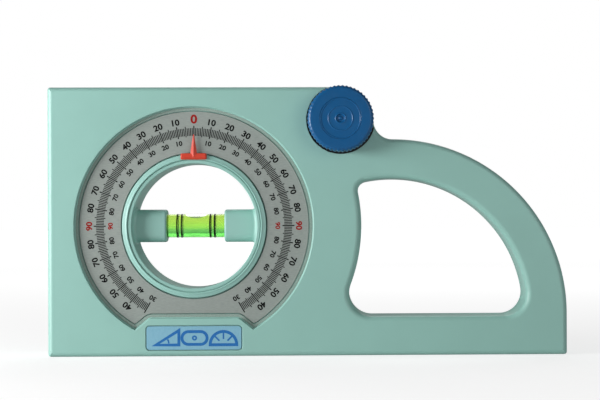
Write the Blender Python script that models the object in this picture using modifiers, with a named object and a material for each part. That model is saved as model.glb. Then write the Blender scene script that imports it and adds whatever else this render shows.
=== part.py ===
"""Hand inclinometer: a spirit level with a protractor dial, a geared turning vial and a grip.

The part stands on its bottom measuring face. +X runs along the base towards the grip, the dial
faces -Y, and +Z is up. The origin is the middle of the measuring face. Units are metres; the
dimensions below are written in millimetres and scaled once, by MM.
"""
import math

import bmesh
import bpy
from mathutils import Matrix, Vector

MM = 0.001

# Overall body
LENGTH = 220.0
HEIGHT = 114.0
FRONT = -14.0  # y of the front face
REAR = 14.0  # y of the rear face
PARTING = 5.0  # y of the joint between the two shells
WALL = 2.2
GAP = 0.3  # between pieces that rest on each other
EDGE = 2.0  # rounding of the outer edges
LAP = 1.35  # how far the rear shell's tongue reaches past the joint
TONGUE = (1.3, 2.1)  # its outer and inner side, as insets of the outline
REBATE = (1.0, 2.4)  # the front shell's rebate that takes it

# Dial, its recess and the turning ring
DIAL_X = -48.3
DIAL_Z = 55.2
RECESS_R = 50.5
RECESS_DEPTH = 2.5
RECESS_END_ANGLE = 150.3  # degrees from the top, where the label step starts
STEP_Z = 16.15
STEP_HALF = 19.0
STEP_ROUND = 2.5
PLATE_LEDGE = 1.9  # width of the ledge around the dial plate
PLATE_THICK = 0.8
PLATE_BORE_R = 31.0
FLOOR_THICK = 1.8
HOLE_R = 26.5
RING_R = 30.5
LIP_R = 28.2
LIP_FRONT = -12.6
LEDGE_FRONT = -11.4
RING_REAR = 13.6
FLANGE_R = 39.0
BEARING_R = 33.4  # outside of the rear shell's bearing for the ring

# Vial
BOSS_R = 7.0
BOSS_END = 12.4
BOSS_EDGE = 0.8
VIAL_R = 5.0
VIAL_HALF = 20.0
VIAL_WALL = 0.8
VIAL_END = 2.0  # thickness of its closed end
STOPPER_LENGTH = 4.0
PLUG_WALL = 1.6
VIAL_LINES = (-8.0, -6.1, 6.1, 8.0)
LINE_WIDTH = 0.4
LINE_THICK = 0.25
BUBBLE_LENGTH = 8.8
BUBBLE_WIDTH = 4.8
BUBBLE_DEPTH = 2.0

# Gear train: ring gear, idler, pinion
MODULE = 1.25
RING_TEETH = 76
IDLER_TEETH = 17
PINION_TEETH = 14
PRESSURE_ANGLE = math.radians(20)
ADDENDUM = 0.8
DEDENDUM = 1.0
BACKLASH = 0.2
GEAR_FRONT = -6.1
GEAR_REAR = -2.1
GEAR_SCREW_R = 36.0  # of the circle that the ring gear's screws stand on
GEAR_SCREW = (0.9, 1.8)  # shank and head radius
GEAR_SCREW_HEAD = (-3.6, -2.4)

# Knob and its spindle
KNOB_X = 14.0
KNOB_Z = 100.1
KNOB_R = 14.0
KNOB_HEIGHT = 10.0
FLUTES = 50
FLUTE_DEPTH = 0.5
CAP_R = 8.75
CORNER_R = 13.9  # of the body, around the knob
HUB_R = 5.5
HUB_REACH = 0.6  # how far the hub stays in front of the knob's rear edge
SOCKET_DEPTH = 4.6  # from the knob's front to the end of the spindle's socket
SPINDLE_R = 3.0
SPINDLE_ENDS = (-19.4, 10.2)
TAP_DEPTH = 7.6
CLIP_GROOVE = (-7.3, -6.3)
CLIP_GROOVE_R = 2.4
CLIP = (-7.1, -6.5)
CLIP_R = (2.7, 4.6)
CLIP_OPENING = 25  # degrees each side of its middle
WASHER = (-14.6, -14.3)
WASHER_R = (3.4, 6.0)

# Bushes that carry the spindle, and their bosses in the shells
BUSH_R = 4.5
BUSH_FLANGE_R = 6.2
BUSH_FLANGE = (-8.2, -7.6)
REAR_BUSH = (5.8, 10.7)
SPINDLE_BOSS_R = 6.5
SPINDLE_BOSS_ENDS = (-8.5, 5.5)  # rear end of the front boss, front end of the rear boss
REAR_BUSH_BORE_END = 11.0

# Idler's pin and its bosses
PIN_R = 2.0
PIN_ENDS = (-11.2, 10.3)
PIN_BORE_ENDS = (-11.5, 10.6)
PIN_BOSS_R = 4.2
PIN_BOSS_ENDS = (-6.6, -1.6)

# Grip: the outer curve, and the hand hole inside it
GRIP_X = 35.9
GRIP_Z = 17.65
GRIP_R = 74.1
HAND_R = 57.4
HAND_DIAL_R = 70.9  # left side of the hand hole, about the dial's centre
HAND_FLOOR = 16.5
HAND_TOP_ROUND = 4.2
HAND_LOW_LEFT_ROUND = 10.0
HAND_LOW_RIGHT_ROUND = 9.5

# Pointer, from the dial's middle
POINTER_TIP = 38.7
POINTER_BASE = (28.1, 30.75)
POINTER_HALF = 5.65
POINTER_THICK = 0.9
NEEDLE_HALF = 1.45
PEG_X = 3.4
PEG_PLACE_R = 29.4
PEG_R = 0.5

# Badge below the dial
BADGE_X = (-68.7, -28.0)
BADGE_Z = (2.5, 13.1)
BADGE_ROUND = 1.7
BADGE_RECESS = 1.0

# Shell screws: pillar radius, and the screw's own sizes
PILLAR_R = 3.6
SCREW_HEAD_R = 2.5
SCREW_R = 1.25
SCREW_HEAD_FRONT = 11.7
SCREW_HEAD_REAR = 13.4
SCREW_TIP = -1.0
GRIP_SCREW_ANGLE = math.radians(42)
GRIP_MIDDLE = (GRIP_R + HAND_R) / 2
SCREW_PLACES = (
    (-102.5, 106.5),
    (-102.5, 7.5),
    (-22.0, 106.5),
    (9.0, 8.3),
    (36.0, 83.4),
    (GRIP_X + GRIP_MIDDLE * math.cos(GRIP_SCREW_ANGLE), GRIP_Z + GRIP_MIDDLE * math.sin(GRIP_SCREW_ANGLE)),
    (101.5, 8.3),
    (57.0, 8.3),
)

RECESS_FLOOR = FRONT + RECESS_DEPTH
SEAT_FLOOR = RECESS_FLOOR + PLATE_THICK + GAP
FLOOR_REAR = SEAT_FLOOR + FLOOR_THICK
KNOB_REAR = FRONT - GAP
KNOB_FRONT = KNOB_REAR - KNOB_HEIGHT
SCREW_SEAT = KNOB_FRONT + 3.6  # where the knob's screw head bears
DIAL = (DIAL_X, DIAL_Z)
KNOB = (KNOB_X, KNOB_Z)


# ---------------------------------------------------------------- plane geometry, in x and z

def polar(centre, radius, angle):
    """The point at a radius and an angle in radians, from +X towards +Z."""
    return (centre[0] + radius * math.cos(angle), centre[1] + radius * math.sin(angle))


def arc(centre, radius, start, end, count):
    """Points on a circle, from one angle to another in degrees, both ends included."""
    step = (end - start) / (count - 1)
    return [polar(centre, radius, math.radians(start + step * i)) for i in range(count)]


def circle(centre, radius, count):
    return arc(centre, radius, 0, 360 * (count - 1) / count, count)


def heading(start, end):
    """Angle from one point to another, in degrees."""
    return math.degrees(math.atan2(end[1] - start[1], end[0] - start[0]))


def meeting(first, first_radius, second, second_radius, side):
    """Where two circles cross: on the left of the line between them if side is 1, else right."""
    across = (second[0] - first[0], second[1] - first[1])
    distance = math.hypot(*across)
    along = (first_radius**2 - second_radius**2 + distance**2) / (2 * distance)
    height = side * math.sqrt(first_radius**2 - along**2)
    unit = (across[0] / distance, across[1] / distance)
    return (first[0] + along * unit[0] - height * unit[1], first[1] + along * unit[1] + height * unit[0])


def body_outline(inset):
    """Outer outline of the body, moved inwards by inset. Counter-clockwise from the low left corner."""
    left, right = -LENGTH / 2 + inset, LENGTH / 2 - inset
    grip = (GRIP_X, GRIP_Z)
    # The notch circle touches the grip's top and the corner round the knob.
    across = GRIP_X - KNOB_X
    rise = GRIP_Z + GRIP_R - KNOB_Z
    notch_r = (across**2 + rise**2 - CORNER_R**2) / (2 * (CORNER_R - rise))
    notch = (GRIP_X, GRIP_Z + GRIP_R + notch_r)
    touch = heading(KNOB, notch)
    points = [(left, inset), (right, inset)]
    points += arc(grip, GRIP_R - inset, 0, 90, 22)
    points += arc(notch, notch_r + inset, -90, touch - 180, 6)[1:]
    points += arc(KNOB, CORNER_R - inset, touch, 90, 8)[1:]
    points.append((left, HEIGHT - inset))
    return points


def hand_outline(grow):
    """Outline of the hand hole, widened all round by grow. Counter-clockwise from the low left."""
    grip = (GRIP_X, GRIP_Z)
    floor = HAND_FLOOR - grow
    outer_r = HAND_R + grow
    dial_r = HAND_DIAL_R - grow
    top_r = HAND_TOP_ROUND + grow
    left_r = HAND_LOW_LEFT_ROUND + grow
    right_r = HAND_LOW_RIGHT_ROUND + grow
    left_z = floor + left_r
    left = (DIAL_X + math.sqrt((dial_r + left_r) ** 2 - (left_z - DIAL_Z) ** 2), left_z)
    right_z = floor + right_r
    right = (GRIP_X + math.sqrt((outer_r - right_r) ** 2 - (right_z - GRIP_Z) ** 2), right_z)
    top = meeting(DIAL, dial_r + top_r, grip, outer_r - top_r, 1)
    points = arc(left, left_r, heading(left, DIAL), 270, 7)
    points += arc(right, right_r, -90, heading(grip, right), 7)
    points += arc(grip, outer_r, heading(grip, right), heading(grip, top), 16)[1:]
    points += arc(top, top_r, heading(grip, top), heading(top, DIAL) + 360, 6)[1:]
    points += arc(DIAL, dial_r, heading(DIAL, top), heading(DIAL, left), 8)[1:-1]
    return points


def dial_outline(inset, steps=49):
    """Dial recess: a circle cut off by the label step, moved inwards by inset."""
    radius = RECESS_R - inset
    edge = STEP_Z + inset
    run = math.radians(180 - RECESS_END_ANGLE)
    low = (DIAL_X + RECESS_R * math.sin(run), DIAL_Z - RECESS_R * math.cos(run))
    corner = (DIAL_X + STEP_HALF, STEP_Z)
    slope = math.atan2(corner[1] - low[1], low[0] - corner[0])
    corner = (corner[0] + inset * math.tan(slope / 2), edge)
    # Meet the slanted side with the circle.
    direction = (math.cos(slope), -math.sin(slope))
    offset = (corner[0] - DIAL_X, corner[1] - DIAL_Z)
    b = offset[0] * direction[0] + offset[1] * direction[1]
    reach = -b + math.sqrt(b * b - offset[0] ** 2 - offset[1] ** 2 + radius**2)
    end = (corner[0] + reach * direction[0], corner[1] + reach * direction[1])
    start_angle = heading(DIAL, end)
    points = arc(DIAL, radius, start_angle, 180 - start_angle, steps)
    rounding = STEP_ROUND + inset
    back = rounding * math.tan(slope / 2)
    right_centre = (corner[0] - back, edge - rounding)
    left_centre = (2 * DIAL_X - right_centre[0], right_centre[1])
    points += arc(left_centre, rounding, 90 + math.degrees(slope), 90, 4)
    points += arc(right_centre, rounding, 90, 90 - math.degrees(slope), 4)
    return points


def rounded_box(x_range, z_range, radius, inset=0.0):
    left, right = x_range[0] + inset, x_range[1] - inset
    low, high = z_range[0] + inset, z_range[1] - inset
    radius -= inset
    points = []
    for centre, start in (
        ((right - radius, high - radius), 0),
        ((left + radius, high - radius), 90),
        ((left + radius, low + radius), 180),
        ((right - radius, low + radius), 270),
    ):
        points += arc(centre, radius, start, start + 90, 4)
    return points


def gear_outline(teeth, centre, phase):
    """Involute teeth around a centre, with one tooth centred on the phase angle in radians."""
    pitch_r = MODULE * teeth / 2
    base_r = pitch_r * math.cos(PRESSURE_ANGLE)
    root_r = pitch_r - MODULE * DEDENDUM
    tip_r = pitch_r + MODULE * ADDENDUM
    half_tooth = math.pi / (2 * teeth) - BACKLASH / (4 * pitch_r)
    roll = math.tan(PRESSURE_ANGLE) - PRESSURE_ANGLE

    def half_angle(radius):
        pressure = math.acos(min(1.0, base_r / radius))
        return half_tooth + roll - (math.tan(pressure) - pressure)

    flank = [max(base_r, root_r), pitch_r, tip_r]
    foot = [(root_r, -half_angle(base_r))] if base_r > root_r else []
    points = []
    for tooth in range(teeth):
        middle = phase + 2 * math.pi * tooth / teeth
        sides = foot + [(radius, -half_angle(radius)) for radius in flank]
        sides += [(radius, -angle) for radius, angle in reversed(sides)]
        points += [polar(centre, radius, middle + angle) for radius, angle in sides]
    return points


def gear_places():
    """The idler's centre, and the three gears' phase angles, so that the teeth mesh."""
    ring_r = MODULE * RING_TEETH / 2
    idler_r = MODULE * IDLER_TEETH / 2
    pinion_r = MODULE * PINION_TEETH / 2
    idler = meeting(DIAL, ring_r + idler_r, KNOB, idler_r + pinion_r, 1)
    to_idler = math.radians(heading(DIAL, idler))
    idler_phase = to_idler + math.pi + math.pi / IDLER_TEETH
    to_pinion = math.radians(heading(idler, KNOB))
    lag = (to_pinion - idler_phase) % (2 * math.pi / IDLER_TEETH)
    pinion_gap = to_pinion + math.pi + lag * IDLER_TEETH / PINION_TEETH
    return idler, to_idler, idler_phase, pinion_gap + math.pi / PINION_TEETH


# ---------------------------------------------------------------- making objects

def clear_scene():
    for old in list(bpy.data.objects):
        bpy.data.objects.remove(old, do_unlink=True)


def new_collection(name):
    made = bpy.data.collections.new(name)
    bpy.context.scene.collection.children.link(made)
    return made


def material(name, colour, roughness, metallic=0.0):
    made = bpy.data.materials.new(name)
    made.use_nodes = True
    shader = made.node_tree.nodes["Principled BSDF"]
    shader.inputs["Base Color"].default_value = (*colour, 1.0)
    shader.inputs["Roughness"].default_value = roughness
    shader.inputs["Metallic"].default_value = metallic
    made.diffuse_color = (*colour, 1.0)
    return made


def mint_plastic():
    return material("mint_plastic", (0.35, 0.60, 0.53), 0.45)


def blue_plastic():
    return material("blue_plastic", (0.012, 0.10, 0.24), 0.35)


def red_plastic():
    return material("red_plastic", (0.62, 0.06, 0.04), 0.35)


def dial_metal():
    return material("dial_metal", (0.30, 0.34, 0.32), 0.5, 0.6)


def badge_foil():
    return material("badge_foil", (0.24, 0.50, 0.66), 0.4)


def clear_acrylic():
    return material("clear_acrylic", (0.75, 0.95, 0.70), 0.05)


def green_liquid():
    return material("green_liquid", (0.35, 0.85, 0.08), 0.05)


def black_paint():
    return material("black_paint", (0.01, 0.01, 0.01), 0.4)


def white_acetal():
    return material("white_acetal", (0.72, 0.71, 0.66), 0.4)


def sintered_bronze():
    return material("sintered_bronze", (0.45, 0.28, 0.12), 0.45, 1.0)


def plated_steel():
    return material("plated_steel", (0.55, 0.56, 0.58), 0.3, 1.0)


def spring_steel():
    return material("spring_steel", (0.20, 0.21, 0.23), 0.35, 1.0)


def add_object(name, mesh, home, look=None, origin=None):
    """Links a mesh whose points are in world space, and moves its origin to the given point."""
    made = bpy.data.objects.new(name, mesh)
    if origin is not None:
        shift = Vector(origin) * MM
        mesh.transform(Matrix.Translation(-shift))
        made.location = shift
    if look is not None:
        mesh.materials.clear()
        mesh.materials.append(look)
    home.objects.link(made)
    return made


def slab(loops, front, rear):
    """A flat piece in the XZ plane, filled between its loops, as a mesh in world space."""
    curve = bpy.data.curves.new("outline", "CURVE")
    curve.dimensions = "2D"
    curve.fill_mode = "BOTH"
    curve.extrude = (rear - front) / 2 * MM
    for loop in loops:
        spline = curve.splines.new("POLY")
        spline.points.add(len(loop) - 1)
        spline.use_cyclic_u = True
        for point, (x, z) in zip(spline.points, loop):
            point.co = (x * MM, z * MM, 0.0, 1.0)
    holder = bpy.data.objects.new("outline", curve)
    bpy.context.scene.collection.objects.link(holder)
    graph = bpy.context.evaluated_depsgraph_get()
    mesh = bpy.data.meshes.new_from_object(holder.evaluated_get(graph))
    bpy.data.objects.remove(holder)
    bpy.data.curves.remove(curve)
    upright = Matrix.Translation((0, (front + rear) / 2 * MM, 0)) @ Matrix.Rotation(math.pi / 2, 4, "X")
    mesh.transform(upright)
    shell = bmesh.new()
    shell.from_mesh(mesh)
    bmesh.ops.remove_doubles(shell, verts=shell.verts, dist=1e-7)
    bmesh.ops.recalc_face_normals(shell, faces=shell.faces)
    shell.to_mesh(mesh)
    shell.free()
    return mesh


def rounded_slab(loops, front, rear, rounded_y):
    """A slab whose edges in the plane y = rounded_y are rounded."""
    mesh = slab(loops, front, rear)
    shell = bmesh.new()
    shell.from_mesh(mesh)
    level = rounded_y * MM
    flat = [e for e in shell.edges if all(abs(v.co.y - level) < 1e-6 for v in e.verts)]
    rim = [e for e in flat if e.calc_face_angle(0.0) > math.radians(45)]
    bmesh.ops.bevel(
        shell, geom=rim, offset=EDGE * MM, segments=2, profile=0.5, affect="EDGES", clamp_overlap=False
    )
    bmesh.ops.recalc_face_normals(shell, faces=shell.faces)
    shell.to_mesh(mesh)
    shell.free()
    return mesh


def turned(name, profile, centre, home, look=None, steps=32, closed=True):
    """A turned piece on an axis along Y. The profile lists radius and y, front to rear on its outside."""
    mesh = bpy.data.meshes.new(name)
    shape = bmesh.new()
    corners = [shape.verts.new((radius * MM, 0.0, -y * MM)) for radius, y in profile]
    pairs = list(zip(corners, corners[1:]))
    if closed:
        pairs.append((corners[-1], corners[0]))
    for pair in pairs:
        shape.edges.new(pair)
    shape.to_mesh(mesh)
    shape.free()
    if look is not None:
        mesh.materials.append(look)
    made = bpy.data.objects.new(name, mesh)
    made.location = (centre[0] * MM, 0.0, centre[1] * MM)
    made.rotation_euler = (math.pi / 2, 0.0, 0.0)
    screw = made.modifiers.new("turn", "SCREW")
    screw.axis = "Z"
    screw.steps = steps
    screw.render_steps = steps
    screw.use_merge_vertices = True
    screw.merge_threshold = 1e-6
    screw.use_smooth_shade = True
    home.objects.link(made)
    return made


def disc(name, radius, front, rear, centre, home, look=None, steps=24):
    """A plain cylinder along Y."""
    profile = ((0.0, front), (radius, front), (radius, rear), (0.0, rear))
    return turned(name, profile, centre, home, look, steps, closed=False)


def sleeve(name, inner, outer, front, rear, centre, home, look=None, steps=24):
    """A plain tube along Y."""
    profile = ((outer, front), (outer, rear), (inner, rear), (inner, front))
    return turned(name, profile, centre, home, look, steps)


def rod_profile(radius, low, high):
    """Profile of a plain cylinder."""
    return ((0.0, low), (radius, low), (radius, high), (0.0, high))


def rod(name, profile, home, look=None, steps=24):
    """A turned piece on the vial's axis. The profile lists radius and x from the dial's middle, left to
    right on its outside."""
    made = turned(name, profile, (0, 0), home, look, steps, closed=profile[0][0] > 0)
    made.location = Vector((DIAL_X, 0.0, DIAL_Z)) * MM
    made.rotation_euler = (0.0, -math.pi / 2, 0.0)
    return made


def cut(target, cutter, operation="DIFFERENCE", solver="EXACT"):
    """Adds a Boolean, and hides its cutter."""
    cutter.hide_render = True
    cutter.display_type = "WIRE"
    boolean = target.modifiers.new(cutter.name, "BOOLEAN")
    boolean.operation = operation
    boolean.solver = solver
    boolean.object = cutter


def robust_cut(target, cutter, operation="DIFFERENCE"):
    """A Boolean on a shell or the ring, whose crowded walls leave open edges with the exact solver."""
    cut(target, cutter, operation, "MANIFOLD")


def baked(target):
    """Applies every modifier on an object, in place."""
    graph = bpy.context.evaluated_depsgraph_get()
    mesh = bpy.data.meshes.new_from_object(target.evaluated_get(graph))
    target.modifiers.clear()
    target.data = mesh
    return target


# ---------------------------------------------------------------- the shells

def shell_cavity(name, front, rear, cutters):
    """The hollow between a shell's walls, round the hand hole."""
    return add_object(name, slab([body_outline(WALL), hand_outline(WALL)], front, rear), cutters)


def keep(cavity, name, radius, front, rear, centre, cutters, steps=16):
    """Leaves a round boss standing in a cavity."""
    robust_cut(cavity, disc(name, radius, front, rear, centre, cutters, steps=steps))


def front_housing(parts, cutters, look, idler):
    """Front shell: face, dial recess with its floor, label step, pillars and bearing bosses."""
    body = rounded_slab([body_outline(0), hand_outline(0)], FRONT, PARTING - GAP / 2, FRONT)
    made = add_object("front_housing", body, parts, look)
    cavity = shell_cavity("front_cavity", FRONT + WALL, PARTING + 1, cutters)
    keep(cavity, "recess_wall_keep", RECESS_R + WALL, FRONT, FLOOR_REAR, DIAL, cutters, 48)
    for number, place in enumerate(SCREW_PLACES, 1):
        keep(cavity, f"pillar_keep_{number}", PILLAR_R, FRONT, PARTING - GAP / 2, place, cutters, 12)
    keep(cavity, "spindle_boss_keep", SPINDLE_BOSS_R, FRONT, SPINDLE_BOSS_ENDS[0], KNOB, cutters)
    keep(cavity, "idler_boss_keep", PIN_BOSS_R, FRONT, PIN_BOSS_ENDS[0], idler, cutters)
    robust_cut(made, baked(cavity))
    rebate = slab([body_outline(REBATE[0]), body_outline(REBATE[1])], PARTING - LAP - GAP, PARTING + 1)
    robust_cut(made, add_object("rebate_cut", rebate, cutters))
    robust_cut(made, add_object("recess_cut", slab([dial_outline(0)], FRONT - 1, RECESS_FLOOR), cutters))
    seat = slab([dial_outline(PLATE_LEDGE - GAP)], FRONT - 0.5, SEAT_FLOOR)
    robust_cut(made, add_object("plate_seat_cut", seat, cutters))
    robust_cut(made, disc("front_bore_cut", RING_R + GAP, FRONT - 2, FLOOR_REAR + 1, DIAL, cutters, steps=48))
    badge = slab([rounded_box(BADGE_X, BADGE_Z, BADGE_ROUND)], FRONT - 1, FRONT + BADGE_RECESS)
    robust_cut(made, add_object("badge_seat_cut", badge, cutters))
    robust_cut(made, disc("bush_bore_cut", BUSH_R + GAP, FRONT - 1, 0, KNOB, cutters))
    robust_cut(made, disc("idler_bore_front_cut", PIN_R + GAP, PIN_BORE_ENDS[0], 0, idler, cutters, steps=12))
    start, end = SCREW_TIP - 2, PARTING + 1
    for number, place in enumerate(SCREW_PLACES, 1):
        pilot = disc(f"pilot_cut_{number}", SCREW_R + GAP, start, end, place, cutters, steps=8)
        robust_cut(made, pilot)
    return made


def rear_housing(parts, cutters, look, idler):
    """Rear shell: flat back, the ring's rear bearing, screw posts, tongue and bearing bosses."""
    body = rounded_slab([body_outline(0), hand_outline(0)], PARTING + GAP / 2, REAR, REAR)
    made = add_object("rear_housing", body, parts, look)
    cavity = shell_cavity("rear_cavity", PARTING - 1, REAR - WALL, cutters)
    keep(cavity, "ring_bearing_keep", BEARING_R, PARTING, REAR, DIAL, cutters, 48)
    for number, place in enumerate(SCREW_PLACES, 1):
        keep(cavity, f"post_keep_{number}", PILLAR_R, PARTING, REAR, place, cutters, 12)
    robust_cut(made, baked(cavity))
    tongue = slab([body_outline(TONGUE[0]), body_outline(TONGUE[1])], PARTING - LAP, PARTING + 1)
    robust_cut(made, add_object("tongue_join", tongue, cutters), "UNION")
    inside = REAR - 1
    front = GEAR_REAR + GAP
    bearing = sleeve("bearing_join", RING_R + GAP, BEARING_R, front, inside, DIAL, cutters, steps=48)
    robust_cut(made, bearing, "UNION")
    boss = disc("spindle_boss_join", SPINDLE_BOSS_R, SPINDLE_BOSS_ENDS[1], inside, KNOB, cutters, steps=16)
    robust_cut(made, boss, "UNION")
    boss = disc("idler_boss_join", PIN_BOSS_R, PIN_BOSS_ENDS[1], inside, idler, cutters, steps=16)
    robust_cut(made, boss, "UNION")
    robust_cut(made, disc("rear_bore_cut", RING_R + GAP, GEAR_REAR, REAR + 1, DIAL, cutters, steps=48))
    robust_cut(made, disc("rear_bush_bore_cut", BUSH_R + GAP, 4, REAR_BUSH_BORE_END, KNOB, cutters))
    robust_cut(made, disc("idler_bore_rear_cut", PIN_R + GAP, -3, PIN_BORE_ENDS[1], idler, cutters, steps=12))
    for number, place in enumerate(SCREW_PLACES, 1):
        head = SCREW_HEAD_FRONT - GAP
        hole = (
            (0.0, PARTING - 1),
            (SCREW_R + GAP, PARTING - 1),
            (SCREW_R + GAP, head),
            (SCREW_HEAD_R + GAP, head),
            (SCREW_HEAD_R + GAP, REAR + 1),
            (0.0, REAR + 1),
        )
        robust_cut(made, turned(f"screw_cut_{number}", hole, place, cutters, steps=12, closed=False))
    return made


def housing_screw(number, place, parts, look):
    """Pan-head screw, driven in from the rear."""
    profile = (
        (0.0, SCREW_TIP),
        (SCREW_R, SCREW_TIP),
        (SCREW_R, SCREW_HEAD_FRONT),
        (SCREW_HEAD_R, SCREW_HEAD_FRONT),
        (SCREW_HEAD_R, SCREW_HEAD_REAR - 0.6),
        (SCREW_HEAD_R - 0.6, SCREW_HEAD_REAR),
        (0.0, SCREW_HEAD_REAR),
    )
    return turned(f"housing_screw_{number}", profile, place, parts, look, steps=10, closed=False)


def dial_plate(parts, look):
    loops = [dial_outline(PLATE_LEDGE), circle(DIAL, PLATE_BORE_R, 48)]
    return add_object("dial_plate", slab(loops, RECESS_FLOOR, RECESS_FLOOR + PLATE_THICK), parts, look)


def badge_plate(parts, look):
    loop = rounded_box(BADGE_X, BADGE_Z, BADGE_ROUND, GAP)
    front = FRONT + 0.1
    return add_object("badge_plate", slab([loop], front, FRONT + BADGE_RECESS - GAP), parts, look)


# ---------------------------------------------------------------- the turning ring and its vial

def rotor_ring(parts, cutters, look):
    """Turning ring with its front lip, gear flange and the two hollow bosses that hold the vial."""
    profile = (
        (29.9, LIP_FRONT),
        (RING_R, LIP_FRONT + 0.6),
        (RING_R, FLOOR_REAR + GAP),
        (FLANGE_R, FLOOR_REAR + GAP),
        (FLANGE_R, GEAR_FRONT - GAP),
        (RING_R, GEAR_FRONT - GAP),
        (RING_R, RING_REAR - 0.5),
        (RING_R - 0.5, RING_REAR),
        (HOLE_R + 0.5, RING_REAR),
        (HOLE_R, RING_REAR - 0.5),
        (HOLE_R, LEDGE_FRONT + 0.4),
        (HOLE_R + 0.4, LEDGE_FRONT),
        (LIP_R, LEDGE_FRONT),
        (LIP_R, LIP_FRONT + 0.5),
        (LIP_R + 0.5, LIP_FRONT),
    )
    made = turned("rotor_ring", profile, DIAL, parts, look, steps=44)
    root = HOLE_R + 1.5
    right = (
        (0.0, BOSS_END),
        (BOSS_R - BOSS_EDGE, BOSS_END),
        (BOSS_R, BOSS_END + BOSS_EDGE),
        (BOSS_R, root),
        (0.0, root),
    )
    left = [(radius, -x) for radius, x in reversed(right)]
    robust_cut(made, rod("boss_left_join", left, cutters), "UNION")
    robust_cut(made, rod("boss_right_join", right, cutters), "UNION")
    robust_cut(made, rod("vial_bore_cut", rod_profile(VIAL_R + GAP, -RING_R - 2, RING_R + 2), cutters))
    for number, (x, z) in enumerate(gear_screw_places(), 1):
        name = f"flange_hole_cut_{number}"
        robust_cut(made, disc(name, GEAR_SCREW[0] + GAP, FLOOR_REAR, GEAR_FRONT, (x, z), cutters, steps=8))
    for name, x in (("left", -PEG_X), ("right", PEG_X)):
        place = (DIAL_X + x, DIAL_Z + PEG_PLACE_R)
        ends = (LIP_FRONT - 1, LIP_FRONT + 1.8)
        hole = disc(f"peg_hole_{name}_cut", PEG_R + GAP, *ends, place, cutters, steps=8)
        robust_cut(made, hole)
    return made


def gear_screw_places():
    """Four screws on the diagonals."""
    return [polar(DIAL, GEAR_SCREW_R, math.radians(angle)) for angle in (45, 135, 225, 315)]


def ring_gear(parts, cutters, look, phase):
    loops = [gear_outline(RING_TEETH, DIAL, phase), circle(DIAL, RING_R + GAP, 48)]
    made = add_object("ring_gear", slab(loops, GEAR_FRONT, GEAR_REAR), parts, look, (DIAL_X, 0, DIAL_Z))
    shank, head = GEAR_SCREW
    for number, place in enumerate(gear_screw_places(), 1):
        hole = (
            (0.0, GEAR_FRONT - 1),
            (shank + GAP, GEAR_FRONT - 1),
            (shank + GAP, GEAR_SCREW_HEAD[0] - GAP),
            (head + GAP, GEAR_SCREW_HEAD[0] - GAP),
            (head + GAP, GEAR_REAR + 1),
            (0.0, GEAR_REAR + 1),
        )
        cut(made, turned(f"gear_hole_cut_{number}", hole, place, cutters, steps=10, closed=False))
    return made


def ring_gear_screw(number, place, parts, look):
    shank, head = GEAR_SCREW
    profile = (
        (0.0, FLOOR_REAR + 2 * GAP),
        (shank, FLOOR_REAR + 2 * GAP),
        (shank, GEAR_SCREW_HEAD[0]),
        (head, GEAR_SCREW_HEAD[0]),
        (head, GEAR_SCREW_HEAD[1]),
        (0.0, GEAR_SCREW_HEAD[1]),
    )
    return turned(f"ring_gear_screw_{number}", profile, place, parts, look, steps=10, closed=False)


def pointer(parts, cutters, look):
    """Red needle on a straight bar, lying on the ring's lip and held by two pegs."""
    right_side = (
        (POINTER_HALF, POINTER_BASE[0]),
        (POINTER_HALF, POINTER_BASE[1]),
        (2.6, POINTER_BASE[1]),
        (1.75, POINTER_BASE[1] + 0.7),
        (NEEDLE_HALF, POINTER_BASE[1] + 2.2),
        (0.25, POINTER_TIP),
    )
    loop = [(DIAL_X + x, DIAL_Z + z) for x, z in right_side]
    loop += [(DIAL_X - x, DIAL_Z + z) for x, z in reversed(right_side)]
    rear = LIP_FRONT - GAP
    made = add_object("pointer", slab([loop], rear - POINTER_THICK, rear), parts, look, (DIAL_X, 0, DIAL_Z))
    for name, x in (("left", -PEG_X), ("right", PEG_X)):
        place = (DIAL_X + x, DIAL_Z + PEG_PLACE_R)
        cut(made, disc(f"peg_{name}_join", PEG_R, rear - 0.5, rear + 1.6, place, cutters, steps=8), "UNION")
    return made


def vial_tube(parts, look):
    """Acrylic vial, open at its right end for the stopper."""
    inner = VIAL_R - VIAL_WALL
    profile = (
        (0.0, -VIAL_HALF),
        (VIAL_R, -VIAL_HALF),
        (VIAL_R, VIAL_HALF),
        (inner, VIAL_HALF),
        (inner, -VIAL_HALF + VIAL_END),
        (0.0, -VIAL_HALF + VIAL_END),
    )
    return rod("vial_tube", profile, parts, look)


def vial_liquid(parts, cutters, look):
    """Tinted spirit, with the bubble's room left at its top."""
    radius = VIAL_R - VIAL_WALL - GAP
    profile = rod_profile(radius, -VIAL_HALF + VIAL_END + GAP, VIAL_HALF - STOPPER_LENGTH)
    made = rod("vial_liquid", profile, parts, look)
    room = bmesh.new()
    bmesh.ops.create_uvsphere(room, u_segments=16, v_segments=8, radius=1.0)
    size = Vector((BUBBLE_LENGTH / 2, BUBBLE_WIDTH / 2, BUBBLE_DEPTH))
    bmesh.ops.scale(room, vec=size * MM, verts=room.verts)
    mesh = bpy.data.meshes.new("bubble_room_cut")
    room.to_mesh(mesh)
    room.free()
    cutter = bpy.data.objects.new("bubble_room_cut", mesh)
    cutter.location = Vector((DIAL_X, 0.0, DIAL_Z + radius)) * MM
    cutters.objects.link(cutter)
    cut(made, cutter)
    return made


def vial_stopper(parts, look):
    radius = VIAL_R - VIAL_WALL - GAP
    profile = rod_profile(radius, VIAL_HALF - STOPPER_LENGTH + GAP, VIAL_HALF - GAP)
    return rod("vial_stopper", profile, parts, look, steps=20)


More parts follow.
